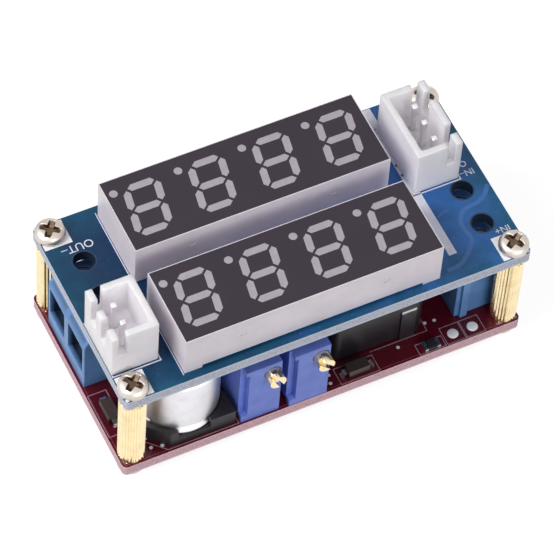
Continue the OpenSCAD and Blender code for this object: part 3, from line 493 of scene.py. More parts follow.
class Recipe:
    """Adds nodes to a tree. An input is given a socket to read from, or a plain value."""

    def __init__(self, tree):
        self.tree = tree

    def feed(self, socket, value):
        """Links or sets one input."""
        if isinstance(value, bpy.types.NodeSocket):
            self.tree.links.new(value, socket)
        elif isinstance(value, (tuple, list)) and len(value) == 3 and socket.type == "RGBA":
            socket.default_value = (*value, 1.0)
        else:
            socket.default_value = value

    def add(self, kind, settings=None, **inputs):
        """A node with its settings and its named inputs, where an underscore stands for a space."""
        node = self.tree.nodes.new(kind)
        for key, value in (settings or {}).items():
            setattr(node, key, value)
        for key, value in inputs.items():
            self.feed(node.inputs[key.replace("_", " ")], value)
        return node

    def blend(self, factor, a, b):
        """Colour a at factor 0 and colour b at factor 1."""
        node = self.add("ShaderNodeMix", {"data_type": "RGBA"})
        self.feed(node.inputs[0], factor)
        self.feed(node.inputs[6], a)
        self.feed(node.inputs[7], b)
        return node.outputs[2]

    def calc(self, operation, a, b=0.0, clamp=False):
        """One step of arithmetic on two values, or on the first alone."""
        node = self.add("ShaderNodeMath", {"operation": operation, "use_clamp": clamp})
        self.feed(node.inputs[0], a)
        self.feed(node.inputs[1], b)
        return node.outputs[0]

    def step(self, value, start, end, low_out=0.0, high_out=1.0):
        """A ramp from low_out where the value is at start to high_out where it is at end."""
        node = self.add("ShaderNodeMapRange", Value=value)
        self.feed(node.inputs["From Min"], start)
        self.feed(node.inputs["From Max"], end)
        self.feed(node.inputs["To Min"], low_out)
        self.feed(node.inputs["To Max"], high_out)
        return node.outputs["Result"]

    def object_place(self):
        """The place on the piece, in metres."""
        return self.add("ShaderNodeTexCoord").outputs["Object"]

    def noise(self, place, size_mm, detail=3.0, rough=0.55, stretch=None):
        """Cloudy noise of a size in mm."""
        if stretch:
            place = self.add("ShaderNodeMapping", Vector=place, Scale=stretch).outputs["Vector"]
        return self.add("ShaderNodeTexNoise", Vector=place, Scale=1.0 / (size_mm * MM), Detail=detail,
                        Roughness=rough).outputs["Fac"]


def open_group(name, inputs, outputs):
    """A shader node group with named sockets: (group, recipe, its inputs, its output node)."""
    group = bpy.data.node_groups.new(name, "ShaderNodeTree")
    for label, kind, default in inputs:
        socket = group.interface.new_socket(name=label, in_out="INPUT", socket_type=kind)
        socket.default_value = default
    for label, kind in outputs:
        group.interface.new_socket(name=label, in_out="OUTPUT", socket_type=kind)
    entry = group.nodes.new("NodeGroupInput")
    exit_node = group.nodes.new("NodeGroupOutput")
    return group, Recipe(group), entry.outputs, exit_node.inputs


COLOUR, VALUE = "NodeSocketColor", "NodeSocketFloat"


def tone_group():
    """Slow patches between two colours, fine grain in the roughness and a height for a bump."""
    name = "Tone And Grain"
    if name in bpy.data.node_groups:
        return bpy.data.node_groups[name]
    group, r, given, result = open_group(
        name,
        [("Colour", COLOUR, (0.5, 0.5, 0.5, 1)), ("Shade", COLOUR, (0.4, 0.4, 0.4, 1)),
         ("Patch Scale", VALUE, 200.0), ("Grain Scale", VALUE, 8000.0),
         ("Roughness", VALUE, 0.4), ("Spread", VALUE, 0.1)],
        [("Colour", COLOUR), ("Roughness", VALUE), ("Height", VALUE)])
    place = r.object_place()
    patch = r.add("ShaderNodeTexNoise", Vector=place, Scale=given["Patch Scale"], Detail=3.0,
                  Roughness=0.6).outputs["Fac"]
    grain = r.add("ShaderNodeTexNoise", Vector=place, Scale=given["Grain Scale"], Detail=2.0,
                  Roughness=0.6).outputs["Fac"]
    r.feed(result["Colour"], r.blend(r.step(patch, 0.35, 0.68), given["Colour"], given["Shade"]))
    swing = r.calc("MULTIPLY", r.calc("SUBTRACT", r.calc("ADD", patch, grain), 1.0), given["Spread"])
    r.feed(result["Roughness"], r.calc("ADD", given["Roughness"], swing, clamp=True))
    r.feed(result["Height"], grain)
    return group


def drawn_group():
    """Fine lines along one direction, as a rolled, turned or drawn metal has."""
    name = "Drawn Lines"
    if name in bpy.data.node_groups:
        return bpy.data.node_groups[name]
    group, r, given, result = open_group(
        name,
        [("Colour", COLOUR, (0.7, 0.7, 0.7, 1)), ("Tarnish", COLOUR, (0.5, 0.45, 0.4, 1)),
         ("Across", VALUE, 9000.0), ("Along", VALUE, 300.0), ("Upright", VALUE, 300.0),
         ("Roughness", VALUE, 0.25), ("Spread", VALUE, 0.15)],
        [("Colour", COLOUR), ("Roughness", VALUE), ("Height", VALUE)])
    place = r.object_place()
    stretch = r.add("ShaderNodeCombineXYZ", X=given["Across"], Y=given["Along"], Z=given["Upright"])
    scaled = r.add("ShaderNodeVectorMath", {"operation": "MULTIPLY"})
    r.feed(scaled.inputs[0], place)
    r.feed(scaled.inputs[1], stretch.outputs[0])
    lines = r.add("ShaderNodeTexNoise", Vector=scaled.outputs[0], Scale=1.0, Detail=3.0,
                  Roughness=0.6).outputs["Fac"]
    cloud = r.noise(place, 1.6, 3.0)
    r.feed(result["Colour"], r.blend(r.step(cloud, 0.42, 0.75), given["Colour"], given["Tarnish"]))
    swing = r.calc("MULTIPLY", r.calc("SUBTRACT", lines, 0.45), given["Spread"])
    r.feed(result["Roughness"], r.calc("ADD", given["Roughness"], swing, clamp=True))
    r.feed(result["Height"], lines)
    return group


def laminate_group():
    """Tells a board's flat faces from its cut edge by the surface's own normal, and gives the edge its
    pressed glass layers and a thin lacquer lip at the top and bottom. The walls of the holes lie more than a
    rim's width inside the outline and get a dark colour, which is painted shade."""
    name = "Laminate Edge"
    if name in bpy.data.node_groups:
        return bpy.data.node_groups[name]
    group, r, given, result = open_group(
        name,
        [("Core", COLOUR, (0.6, 0.55, 0.5, 1)), ("Lip", COLOUR, (0.3, 0.05, 0.1, 1)),
         ("Hole", COLOUR, (0.01, 0.02, 0.05, 1)), ("Underside", VALUE, 0.0), ("Thickness", VALUE, 0.0016),
         ("Middle X", VALUE, 0.0), ("Middle Y", VALUE, 0.0), ("Half Length", VALUE, 0.0255),
         ("Half Width", VALUE, 0.013)],
        [("Edge", VALUE), ("Colour", COLOUR), ("Height", VALUE), ("Outward", VALUE)])
    place = r.object_place()
    normal = r.add("ShaderNodeSeparateXYZ", Vector=r.add("ShaderNodeNewGeometry").outputs["Normal"])
    upright = r.calc("ABSOLUTE", normal.outputs["Z"])
    r.feed(result["Edge"], r.step(upright, 0.5, 0.4))
    split = r.add("ShaderNodeSeparateXYZ", Vector=place)
    past = []
    for axis, half in (("X", "Half Length"), ("Y", "Half Width")):
        off_middle = r.calc("ABSOLUTE", r.calc("SUBTRACT", split.outputs[axis], given["Middle " + axis]))
        past.append(r.calc("SUBTRACT", off_middle, given[half]))
    outward = r.calc("MAXIMUM", past[0], past[1])
    r.feed(result["Outward"], outward)
    depth = r.calc("DIVIDE", r.calc("SUBTRACT", split.outputs["Z"], given["Underside"]), given["Thickness"])
    ply = r.add("ShaderNodeTexWave", {"wave_type": "BANDS", "bands_direction": "Z"}, Vector=place,
                Scale=1400.0, Distortion=3.0, Detail=3.0)
    ply.inputs["Detail Scale"].default_value = 2.0
    weave = r.noise(place, 0.22, 4.0, 0.7, stretch=(1.0, 1.0, 2.0))
    shade = r.blend(r.calc("MULTIPLY", ply.outputs["Fac"], 0.22), given["Core"], (0.20, 0.20, 0.22))
    shade = r.blend(r.step(weave, 0.35, 0.55, 0.55, 0.0), shade, (0.10, 0.11, 0.14))
    shade = r.blend(r.step(weave, 0.52, 0.78, 0.0, 0.75), shade, (0.78, 0.78, 0.82))
    rim = r.step(r.calc("ABSOLUTE", r.calc("SUBTRACT", depth, 0.5)), 0.28, 0.40)
    outer = r.blend(r.calc("MULTIPLY", rim, r.step(weave, 0.2, 0.6, 1.0, 0.6)), shade, given["Lip"])
    # painted shade: the walls of the holes take a dark colour
    r.feed(result["Colour"], r.blend(r.step(outward, -0.35 * MM, -0.3 * MM), given["Hole"], outer))
    r.feed(result["Height"], r.calc("ADD", r.calc("MULTIPLY", ply.outputs["Fac"], 0.5), weave))
    return group


def start_material(name):
    """A new material with one Principled shader: (material, recipe, shader)."""
    material = bpy.data.materials.new(name)
    material.use_nodes = True
    tree = material.node_tree
    tree.nodes.clear()
    r = Recipe(tree)
    shader = r.add("ShaderNodeBsdfPrincipled")
    out = r.add("ShaderNodeOutputMaterial")
    tree.links.new(shader.outputs["BSDF"], out.inputs["Surface"])
    return material, r, shader


def bump(r, shader, height, distance_mm):
    """Fine relief from a height, as deep as the distance."""
    node = r.add("ShaderNodeBump", Height=height, Distance=distance_mm * MM, Strength=1.0)
    r.tree.links.new(node.outputs["Normal"], shader.inputs["Normal"])


def darker(colour, by):
    """A colour times one factor, which may also brighten it."""
    return tuple(c * by for c in colour)


def moulded(name, colour, shade=0.8, patch_mm=3.0, grain_mm=0.08, roughness=0.45, spread=0.1,
            grain_depth=0.004, soft=0.0, soft_mm=0.6, shine=0.5):
    """A moulded plastic with a slow change of tone and a fine grain. Soft is how much light wanders
    soft_mm deep under its surface, and shine is the strength of its mirror-like part."""
    material, r, shader = start_material(name)
    tone = r.add("ShaderNodeGroup", {"node_tree": tone_group()}, Colour=tuple(colour),
                 Shade=darker(colour, shade), Roughness=roughness, Spread=spread)
    tone.inputs["Patch Scale"].default_value = 1 / (patch_mm * MM)
    tone.inputs["Grain Scale"].default_value = 1 / (grain_mm * MM)
    r.feed(shader.inputs["Base Color"], tone.outputs["Colour"])
    r.feed(shader.inputs["Roughness"], tone.outputs["Roughness"])
    shader.inputs["Specular IOR Level"].default_value = shine
    bump(r, shader, tone.outputs["Height"], grain_depth)
    if soft:
        shader.inputs["Subsurface Weight"].default_value = soft
        shader.inputs["Subsurface Scale"].default_value = soft_mm * MM
        shader.inputs["Subsurface Radius"].default_value = (1.0, 0.9, 0.9)
    return material


def metal(name, colour, tarnish, across_mm=0.05, along_mm=1.5, upright_mm=1.5, roughness=0.25, spread=0.2,
          depth=0.002, recess_shade=None):
    """A plated or solid metal with fine lines along the way it was drawn, turned or rolled. A given recess
    colour is painted shade where the piece's own depth attribute is high, with a darker painted shade on the
    recess walls."""
    material, r, shader = start_material(name)
    lines = r.add("ShaderNodeGroup", {"node_tree": drawn_group()}, Colour=tuple(colour),
                  Tarnish=tuple(tarnish), Across=1 / (across_mm * MM), Along=1 / (along_mm * MM),
                  Upright=1 / (upright_mm * MM), Roughness=roughness, Spread=spread)
    shader.inputs["Metallic"].default_value = 1.0
    colour = lines.outputs["Colour"]
    if recess_shade is not None:
        # painted shade: dark where the recess is deep and darker still on its walls
        inside = r.add("ShaderNodeAttribute", {"attribute_name": "depth"}).outputs["Fac"]
        wall_shade = r.calc("MULTIPLY", r.step(inside, 0.04, 0.3), r.step(inside, 0.95, 0.45))
        colour = r.blend(r.step(inside, 0.05, 0.6), colour, tuple(recess_shade))
        colour = r.blend(r.calc("MULTIPLY", wall_shade, 0.8), colour, darker(recess_shade, 0.3))
    r.feed(shader.inputs["Base Color"], colour)
    r.feed(shader.inputs["Roughness"], lines.outputs["Roughness"])
    bump(r, shader, lines.outputs["Height"], depth)
    return material


def lacquered_board(name, node, mask, copper, rim, core, lip, hole, roughness):
    """A circuit board: glossy lacquer over laminate and over copper, with bare cut edges. Copper lies in
    cloudy patches, and the copper colour also grows towards the board's right as a painted sheen, the light
    reflected more on that side; the colour rim comes in near the outline."""
    material, r, shader = start_material(name)
    place = r.object_place()
    (x0, y0, under), (x1, y1, top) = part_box(node)
    edge = r.add("ShaderNodeGroup", {"node_tree": laminate_group()}, Core=tuple(core), Lip=tuple(lip),
                 Hole=tuple(hole), Underside=under, Thickness=top - under, Middle_X=(x0 + x1) / 2,
                 Middle_Y=(y0 + y1) / 2, Half_Length=(x1 - x0) / 2, Half_Width=(y1 - y0) / 2)
    split = r.add("ShaderNodeSeparateXYZ", Vector=place)
    # painted sheen: towards the board's right the copper colour takes over, painting in the brighter
    # reflection of the light on that side
    across = r.step(split.outputs["X"], x0 + 0.1 * (x1 - x0), x1 - 0.15 * (x1 - x0))
    copper_sheen_mix = r.calc("ADD", r.calc("MULTIPLY", r.noise(place, 9.0, 1.0, 0.3), 0.4),
                    r.calc("MULTIPLY", across, 0.75))
    flat = r.blend(r.step(copper_sheen_mix, 0.3, 0.8), tuple(mask), tuple(copper))
    cloud = r.noise(place, 2.2, 4.0)
    flat = r.blend(r.step(cloud, 0.35, 0.8, 0.0, 0.35), flat, darker(mask, 0.7))
    near_rim = r.calc("MULTIPLY", r.step(edge.outputs["Outward"], -4.5 * MM, -0.3 * MM),
                      r.step(cloud, 0.2, 0.7))
    flat = r.blend(near_rim, flat, tuple(rim))
    shader.inputs["Specular IOR Level"].default_value = 0.28
    r.feed(shader.inputs["Base Color"], r.blend(edge.outputs["Edge"], flat, edge.outputs["Colour"]))
    orange_peel = r.noise(place, 0.5, 2.0)
    lacquer = r.calc("ADD", r.calc("MULTIPLY", orange_peel, 0.08), roughness - 0.04)
    r.feed(shader.inputs["Roughness"], r.calc("ADD", lacquer, r.calc("MULTIPLY", edge.outputs["Edge"], 0.45),
                                             clamp=True))
    height = r.calc("ADD", r.calc("MULTIPLY", orange_peel, 0.35),
                   r.calc("MULTIPLY", edge.outputs["Edge"], edge.outputs["Height"]))
    bump(r, shader, height, 0.012)
    return material


def cached(builder):
    """Builds a material once and hands out the same one after that."""
    made = []

    def get():
        if not made:
            made.append(builder())
        return made[0]

    return get


def board_settings():
    """Colours of the boards, as the panel has them."""
    return bpy.context.scene.module_board


def metal_settings():
    """Colours of the metals, as the panel has them."""
    return bpy.context.scene.module_metal


def plastic_settings():
    """Colours of the plastics, as the panel has them."""
    return bpy.context.scene.module_plastic


@cached
def ink():
    """White print, dry and slightly uneven."""
    return moulded("White Print", board_settings().ink, shade=0.88, patch_mm=0.8, grain_mm=0.05,
                   roughness=0.55, grain_depth=0.003)


@cached
def thin_ink():
    """The power board's print, thin enough to let the red lacquer through."""
    return moulded("Thin Print", board_settings().power_ink, shade=0.6, patch_mm=0.6, grain_mm=0.05,
                   roughness=0.55, grain_depth=0.003)


@cached
def tin():
    """Tinned pins, leads and rings."""
    c = metal_settings().tin
    return metal("Bright Tin", c, darker(c, 0.72), across_mm=0.2, along_mm=0.2, upright_mm=0.2,
                 roughness=0.26, spread=0.25, depth=0.004)


@cached
def pad_tin_and_reflection():
    """Tinned pads with a matt near-white colour in place of a mirror-like metal: a painted reflection of the
    bright surroundings, white from any side.
    """
    return moulded("Pad Tin And Painted Reflection", metal_settings().pad, shade=0.92, patch_mm=1.0, grain_mm=0.08,
                   roughness=0.3, grain_depth=0.004)


@cached
def solder():
    """Bright solder with slow dull patches."""
    c = metal_settings().tin
    return metal("Solder", c, darker(c, 0.62), across_mm=0.25, along_mm=0.25, upright_mm=0.25,
                 roughness=0.2, spread=0.3, depth=0.01)


@cached
def brass():
    """Brass drawn along the knurl of the standoffs."""
    c = metal_settings().brass
    return metal("Knurled Brass", c, darker(c, 0.85), across_mm=0.05, along_mm=0.05, upright_mm=4.0,
                 roughness=0.22, spread=0.12, depth=0.002)


@cached
def nickel():
    """Nickel plate of the corner screws, with painted shade in their recesses."""
    s = metal_settings()
    return metal("Nickel Plate", s.nickel, s.tarnish, across_mm=0.3, along_mm=0.3, upright_mm=0.3,
                 roughness=0.40, spread=0.18, depth=0.004, recess_shade=s.recess)


@cached
def zinc():
    """Zinc plate of the terminals' screws and clamps."""
    c = metal_settings().zinc
    return metal("Zinc Plate", c, darker(c, 0.75), across_mm=0.1, along_mm=0.5, upright_mm=0.5,
                 roughness=0.33, spread=0.2, depth=0.004)


@cached
def can_metal():
    """Aluminium drawn upwards, with fine rings round the can."""
    c = metal_settings().can
    return metal("Drawn Aluminium", c, darker(c, 0.9), across_mm=0.4, along_mm=0.4, upright_mm=0.03,
                 roughness=0.4, spread=0.14, depth=0.0015)


@cached
def nylon():
    """Milky nylon of the shrouded headers."""
    return moulded("White Nylon", plastic_settings().nylon, shade=0.93, patch_mm=2.5, grain_mm=0.12,
                   roughness=0.38, spread=0.12, grain_depth=0.003, soft=0.9, soft_mm=1.6)


@cached
def case_plastic():
    """Pale plastic of the display cases."""
    return moulded("Display Housing", plastic_settings().case, shade=0.9, patch_mm=4.0, grain_mm=0.1,
                   roughness=0.36, spread=0.12, grain_depth=0.003, soft=0.15, soft_mm=0.5)


@cached
def face_film():
    """Dark film over the display faces, also used for the darkest dots."""
    return moulded("Display Face", plastic_settings().face, shade=0.85, patch_mm=6.0, grain_mm=0.06,
                   roughness=0.42, spread=0.06, grain_depth=0.002, shine=0.3)


@cached
def bar_resin():
    """Resin of the unlit digit bars."""
    return moulded("Digit Bars", plastic_settings().bar, shade=0.9, patch_mm=1.0, grain_mm=0.06,
                   roughness=0.34, spread=0.1, grain_depth=0.002, soft=0.2, soft_mm=0.3)


def terminal_plastic(name, node, facing):
    """The terminals' blue, deep and dark inside the two wire boxes. Facing is 1 where the wires go in
    along +X and -1 where they go in along -X. The shade fills each box: box_l deep from the entry, box_r
    to either side of its pole and up to box_top under the housing's top."""
    box_l, box_r, box_top = 6.5 * MM, 2.02 * MM, 1.4 * MM
    colour = plastic_settings().terminal
    material, r, shader = start_material(name)
    (x0, y0, _), (x1, y1, top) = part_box(node)
    front, middle = (x0, y0 + PITCH * MM) if facing > 0 else (x1, y1 - PITCH * MM)
    split = r.add("ShaderNodeSeparateXYZ", Vector=r.object_place())
    inward = r.calc("MULTIPLY", r.calc("SUBTRACT", split.outputs["X"], front), float(facing))
    aside = r.calc("ABSOLUTE", r.calc("SUBTRACT", split.outputs["Y"], middle))
    off_pole = r.calc("ABSOLUTE", r.calc("SUBTRACT", aside, 0.5 * PITCH * MM))
    inside = r.calc("MULTIPLY", r.step(inward, 0.05 * MM, 0.6 * MM),
                    r.step(inward, box_l + 0.2 * MM, box_l))
    inside = r.calc("MULTIPLY", inside, r.step(off_pole, box_r + 0.04 * MM, box_r))
    inside = r.calc("MULTIPLY", inside, r.step(split.outputs["Z"], top - box_top + 0.3 * MM, top - box_top))
    tone = r.add("ShaderNodeGroup", {"node_tree": tone_group()}, Colour=tuple(colour),
                 Shade=darker(colour, 0.78), Roughness=0.38, Spread=0.12)
    tone.inputs["Patch Scale"].default_value = 1 / (3.0 * MM)
    tone.inputs["Grain Scale"].default_value = 1 / (0.09 * MM)
    r.feed(shader.inputs["Base Color"], r.blend(r.calc("MULTIPLY", inside, 0.97), tone.outputs["Colour"],
                                                tuple(plastic_settings().terminal_dark)))
    r.feed(shader.inputs["Roughness"], tone.outputs["Roughness"])
    bump(r, shader, tone.outputs["Height"], 0.004)
    return material


@cached
def trimmer_plastic():
    """Blue plastic of the trimmer housings."""
    return moulded("Trimmer Blue", plastic_settings().trimmer, shade=0.84, patch_mm=2.0, grain_mm=0.08,
                   roughness=0.42, spread=0.12, grain_depth=0.004)


@cached
def black_moulding():
    """Black epoxy of chips and capacitor bases."""
    return moulded("Black Moulding", plastic_settings().black, shade=0.7, patch_mm=1.5, grain_mm=0.06,
                   roughness=0.5, spread=0.12, grain_depth=0.006)


@cached
def strap_metal():
    """The inductor's straps: a near black painted shade up to a painted glint of bright tin at the top end.
    """
    material, r, shader = start_material("Strap Painted Shade And Glint")
    place = r.object_place()
    height = r.add("ShaderNodeSeparateXYZ", Vector=place).outputs["Z"]
    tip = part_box("inductor_terminals")[1][2]
    uneven = r.calc("ADD", height, r.calc("MULTIPLY", r.noise(place, 0.5), 0.3 * MM))
    # painted glint: only the strap's top end is bright metal; below it the near black colour is painted shade
    bare = r.step(uneven, tip - 0.35 * MM, tip - 0.15 * MM)
    black = plastic_settings().black
    r.feed(shader.inputs["Base Color"], r.blend(bare, darker(black, 1.5), tuple(metal_settings().tin)))
    r.feed(shader.inputs["Metallic"], bare)
    r.feed(shader.inputs["Roughness"], r.step(r.noise(place, 0.1), 0.2, 0.8, 0.28, 0.45))
    bump(r, shader, r.noise(place, 0.3), 0.01)
    return material


@cached
def ferrite():
    """The inductor's pressed powder, grainier than the chips."""
    return moulded("Ferrite", plastic_settings().black, shade=0.6, patch_mm=1.2, grain_mm=0.15,
                   roughness=0.36, spread=0.2, grain_depth=0.012)


def seen_directly(r):
    """One for rays from the camera and for those that metal or clear pieces send on, else none."""
    path = r.add("ShaderNodeLightPath")
    bounced = r.calc("MAXIMUM", path.outputs["Is Glossy Ray"], path.outputs["Is Transmission Ray"])
    return r.calc("MAXIMUM", path.outputs["Is Camera Ray"], bounced)


def dress(names, material):
    """Gives CAD nodes one material."""
    for name in names:
        node = NODES[name]
        node.data.materials.clear()
        node.data.materials.append(material)


def round_edges(names, width_mm, segments=2, angle=35.0, firm=False):
    """Merges the loose triangles at render time and rounds the sharp edges, those past the angle in
    degrees, with flat faces kept flat. Firm shades every face flat, for broad faces with small dimples."""
    for name in names:
        node = NODES[name]
        node.data.polygons.foreach_set("use_smooth", [not firm] * len(node.data.polygons))
        weld = node.modifiers.new("Weld", "WELD")
        weld.merge_threshold = 0.0005 * MM
        bevel = node.modifiers.new("Bevel", "BEVEL")
        bevel.width = width_mm * MM
        bevel.segments = segments
        bevel.limit_method = "ANGLE"
        bevel.angle_limit = math.radians(angle)
        bevel.miter_outer = "MITER_ARC"
        bevel.use_clamp_overlap = True
        if firm:
            continue
        flat = node.modifiers.new("Normals", "WEIGHTED_NORMAL")
        flat.keep_sharp = False
        flat.weight = 90


# ---------------------------------------------------------------- operators


class MODULE_OT_boards(bpy.types.Operator):
    """Lacquer the two boards and lay their print, tracks and pads"""

    bl_idname = "module.boards"
    bl_label = "Boards"

    def execute(self, context):
        s = context.scene.module_board
        # the darkened mask colours passed for the holes are painted shade on the hole walls
        dress(["display_board"], lacquered_board(
            "Blue Board", "display_board", s.display_mask, s.display_copper_and_sheen, s.display_teal, s.display_core,
            s.display_lip, darker(s.display_mask, 0.3), s.gloss))
        dress(["power_board"], lacquered_board(
            "Red Board", "power_board", s.power_mask, s.power_copper_and_sheen, darker(s.power_copper_and_sheen, 1.3),
            s.power_core, s.power_lip, darker(s.power_mask, 0.5), s.gloss))
        self.display_print(s.line / MM)
        self.power_print(0.7 * s.line / MM, s.power_rim)
        self.tracks(s.display_track, s.gloss)
        self.access_rings(s.hole_rim)
        self.corner_pads()
        self.pin_rings()
        return {"FINISHED"}

    def display_print(self, line):
        """The band beside the displays, outlines round the headers, the marks of the terminals and two
        dark vias on the band."""
        z = DISPLAY_TOP
        band, band_w = high("back_display_case")[0] + 2.4, 1.0
        left = low("front_display_case")[0] - line
        shapes = [
            plate(rectangle(band, 3.4, band + band_w, BOARD_W - 0.1), z, FILM),
            ribbon([(left, 0.9), (left, BOARD_W - 0.9)], 0.7 * line, z)]
        for node in ("two_pin_header", "three_pin_header"):
            a, b = low(node) - 0.22, high(node) + 0.22
            a[0] = max(a[0], line)
            shapes.append(ribbon(rectangle(a[0], a[1], b[0], b[1]), line, z, closed=True))
        shapes.append(ring(*ROUND_MARK, z, 0.28, 0.42))
        piece("display_board_print", joined(shapes), ink())
        for name, (text, x, y, size) in LABELS.items():
            lettering(name, text, x, y, z, size, 180.0, ink())
        dots = [disc(x, y, z + FILM, 0.2, FILM, 20) for x, y in ((band + 0.25, 15.7), (band + 0.2, 17.2))]
        piece("display_board_vias", joined(dots), face_film())

    def power_print(self, line, rim_colour):
        """The chamfered outline round the output capacitor, boxes round the smaller parts, the angles at the
        inductor and at the right corner, the thin paler line along the edge, and the vias."""
        z = POWER_TOP
        can = (low("output_capacitor_base")[:2] + high("output_capacitor_base")[:2]) / 2
        reach, cut = 5.5, 2.1
        x0, x1, y0, y1 = can[0] - reach, can[0] + reach, can[1] - reach + 0.1, can[1] + reach
        shapes = [ribbon([(x1, y0), (x0 + cut, y0), (x0, y0 + cut), (x0, y1 - cut), (x0 + cut, y1), (x1, y1)],
                         line, z, closed=True)]
        boxes = list(PART_BOXES)
        boxes.append((low("catch_diode_body")[:2] - 0.25, high("catch_diode_body")[:2] + 0.25))
        boxes += [((x - 1.2, 0.15), (x + 1.2, 2.6)) for x in SOLDER_PADS]
        for a, b in boxes:
            shapes.append(ribbon(rectangle(a[0], a[1], b[0], b[1]), line, z, closed=True))
        corner = high("inductor_core")[0] + 0.3, low("inductor_core")[1] - 0.35
        shapes.append(ribbon([(corner[0] - 7.5, corner[1]), corner, (corner[0], corner[1] + 2.0)], line, z))
        right, end = BOARD_L - 0.4, 0.4
        shapes.append(ribbon([(right - 2.6, end), (right, end), (right, end + 3.0)], 2.2 * line, z))
        piece("power_board_print", joined(shapes), thin_ink())
        inset, rim_w = 0.32, 0.07
        rim = ribbon(rectangle(inset, inset, BOARD_L - inset, BOARD_W - inset), rim_w, z, 0.01, closed=True)
        piece("power_board_rim", rim, moulded("Rim Tint", rim_colour, roughness=0.4))
        piece("power_board_vias", joined([disc(x, y, z, 0.22, DOT, 20) for x, y in POWER_VIAS]), ink())

    def tracks(self, colour, gloss):
        """Raised copper under the display board's lacquer, seen as paler curved bands."""
        shapes = [ribbon(rounded(path), width, DISPLAY_TOP, RISE) for path, width in TRACKS]
        hue = moulded("Lacquered Track", colour, shade=0.75, patch_mm=3.0, grain_mm=0.5, roughness=gloss,
                      grain_depth=0.002)
        piece("display_board_tracks", joined(shapes), hue)

    def access_rings(self, colour):
        """Bare rims round the holes over the terminal screws, on both faces of the display board."""
        halos = []
        for node in ("output_screw_1", "output_screw_2", "input_screw_1", "input_screw_2"):
            x, y = ((low(node) + high(node)) / 2)[:2]
            for height in (DISPLAY_TOP, DISPLAY_UNDER - RISE):
                halos.append(ring(x, y, height, 1.31, 1.48, RISE))
        piece("access_hole_rings", joined(halos), moulded("Bare Rim", colour, roughness=0.5, shine=0.3))

    def corner_pads(self):
        """Square tinned pads under the corner screws and the ends of the standoffs. Each face has its own
        reach from the screw's middle, towards the board's middle and towards its edge."""
        shapes = []
        edge = INSET - 0.15
        reaches = {DISPLAY_TOP: (1.95, edge), DISPLAY_UNDER - FILM: (1.95, edge), POWER_TOP: (1.1, 1.1),
                   -FILM: (1.8, edge)}
        for z, (inner, outer) in reaches.items():
            for x, y in CORNERS:
                sx, sy = math.copysign(1, BOARD_L / 2 - x), math.copysign(1, BOARD_W / 2 - y)
                x0, x1 = sorted((x - sx * outer, x + sx * inner))
                y0, y1 = sorted((y - sy * outer, y + sy * inner))
                shapes.append(plate(rectangle(x0, y0, x1, y1), z, FILM))
        # the pads' white is partly tin and partly painted reflection
        piece("corner_pads", joined(shapes), pad_tin_and_reflection())

    def pin_rings(self):
        """Tinned rings round the pins, on the side that is soldered."""
        shapes = []
        for node, (under, wide) in SOLDERED.items():
            for x, y in pin_places(node):
                shapes.append(ring(x, y, under - FILM, PIN_R, wide + 0.15))
        piece("pin_rings", joined(shapes), tin())


class MODULE_OT_screws(bpy.types.Operator):
    """Make the corner screws with their cross recesses and dress the standoffs"""

    bl_idname = "module.screws"
    bl_label = "Screws And Standoffs"

    def execute(self, context):
        self.heads("cross_screws_top", "top_screws", DISPLAY_TOP, 1.0)
        self.heads("cross_screws_bottom", "bottom_screws", 0.0, -1.0)
        dress(["standoffs"], brass())
        return {"FINISHED"}

    def heads(self, name, node, z, up):
        """The four screws of one side, as wide and high as the node's heads, each at its own turn."""
        radius = INSET - low(node)[0]
        head = high(node)[2] - z if up > 0 else z - low(node)[2]
        made = [screw_head(x, y, z, radius, head, up, turn) for (x, y), turn in zip(CORNERS, SCREW_TURNS)]
        depth = np.concatenate([values for _, values in made])
        shape = joined([screw for screw, _ in made])
        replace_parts(piece(name, shape, nickel(), smooth=40, values=depth), node)


class MODULE_OT_terminals(bpy.types.Operator):
    """Finish the screw terminals"""

    bl_idname = "module.terminals"
    bl_label = "Screw Terminals"

    def execute(self, context):
        names = ["output_terminal_housing", "input_terminal_housing"]
        dress(names[:1], terminal_plastic("Output Terminal Blue", names[0], 1))
        dress(names[1:], terminal_plastic("Input Terminal Blue", names[1], -1))
        round_edges(names, 0.12)
        starts = ("output_screw", "input_screw", "output_clamp", "input_clamp")
        metals = [n for n in NODES if n.startswith(starts)]
        dress(metals, zinc())
        round_edges(metals, 0.06)
        dress(["output_terminal_pins", "input_terminal_pins"], tin())
        return {"FINISHED"}


class MODULE_OT_trimmers(bpy.types.Operator):
    """Finish the two trimmers and their adjusting screws"""

    bl_idname = "module.trimmers"
    bl_label = "Trimmers"

    def execute(self, context):
        names = ["left_trimmer_housing", "right_trimmer_housing"]
        dress(names, trimmer_plastic())
        round_edges(names, 0.1)
        screws = ["left_trimmer_screw", "right_trimmer_screw"]
        dress(screws, brass())
        round_edges(screws, 0.06)
        dress(["left_trimmer_pins", "right_trimmer_pins"], tin())
        return {"FINISHED"}


class MODULE_OT_capacitors(bpy.types.Operator):
    """Finish the two electrolytic capacitors"""

    bl_idname = "module.capacitors"
    bl_label = "Capacitors"

    def execute(self, context):
        for side in ("output", "input"):
            dress([f"{side}_capacitor_can"], can_metal())
            round_edges([f"{side}_capacitor_can"], 0.02, 1, 60)
            dress([f"{side}_capacitor_base"], black_moulding())
            round_edges([f"{side}_capacitor_base"], 0.1)
            dress([f"{side}_capacitor_leads"], tin())
        return {"FINISHED"}


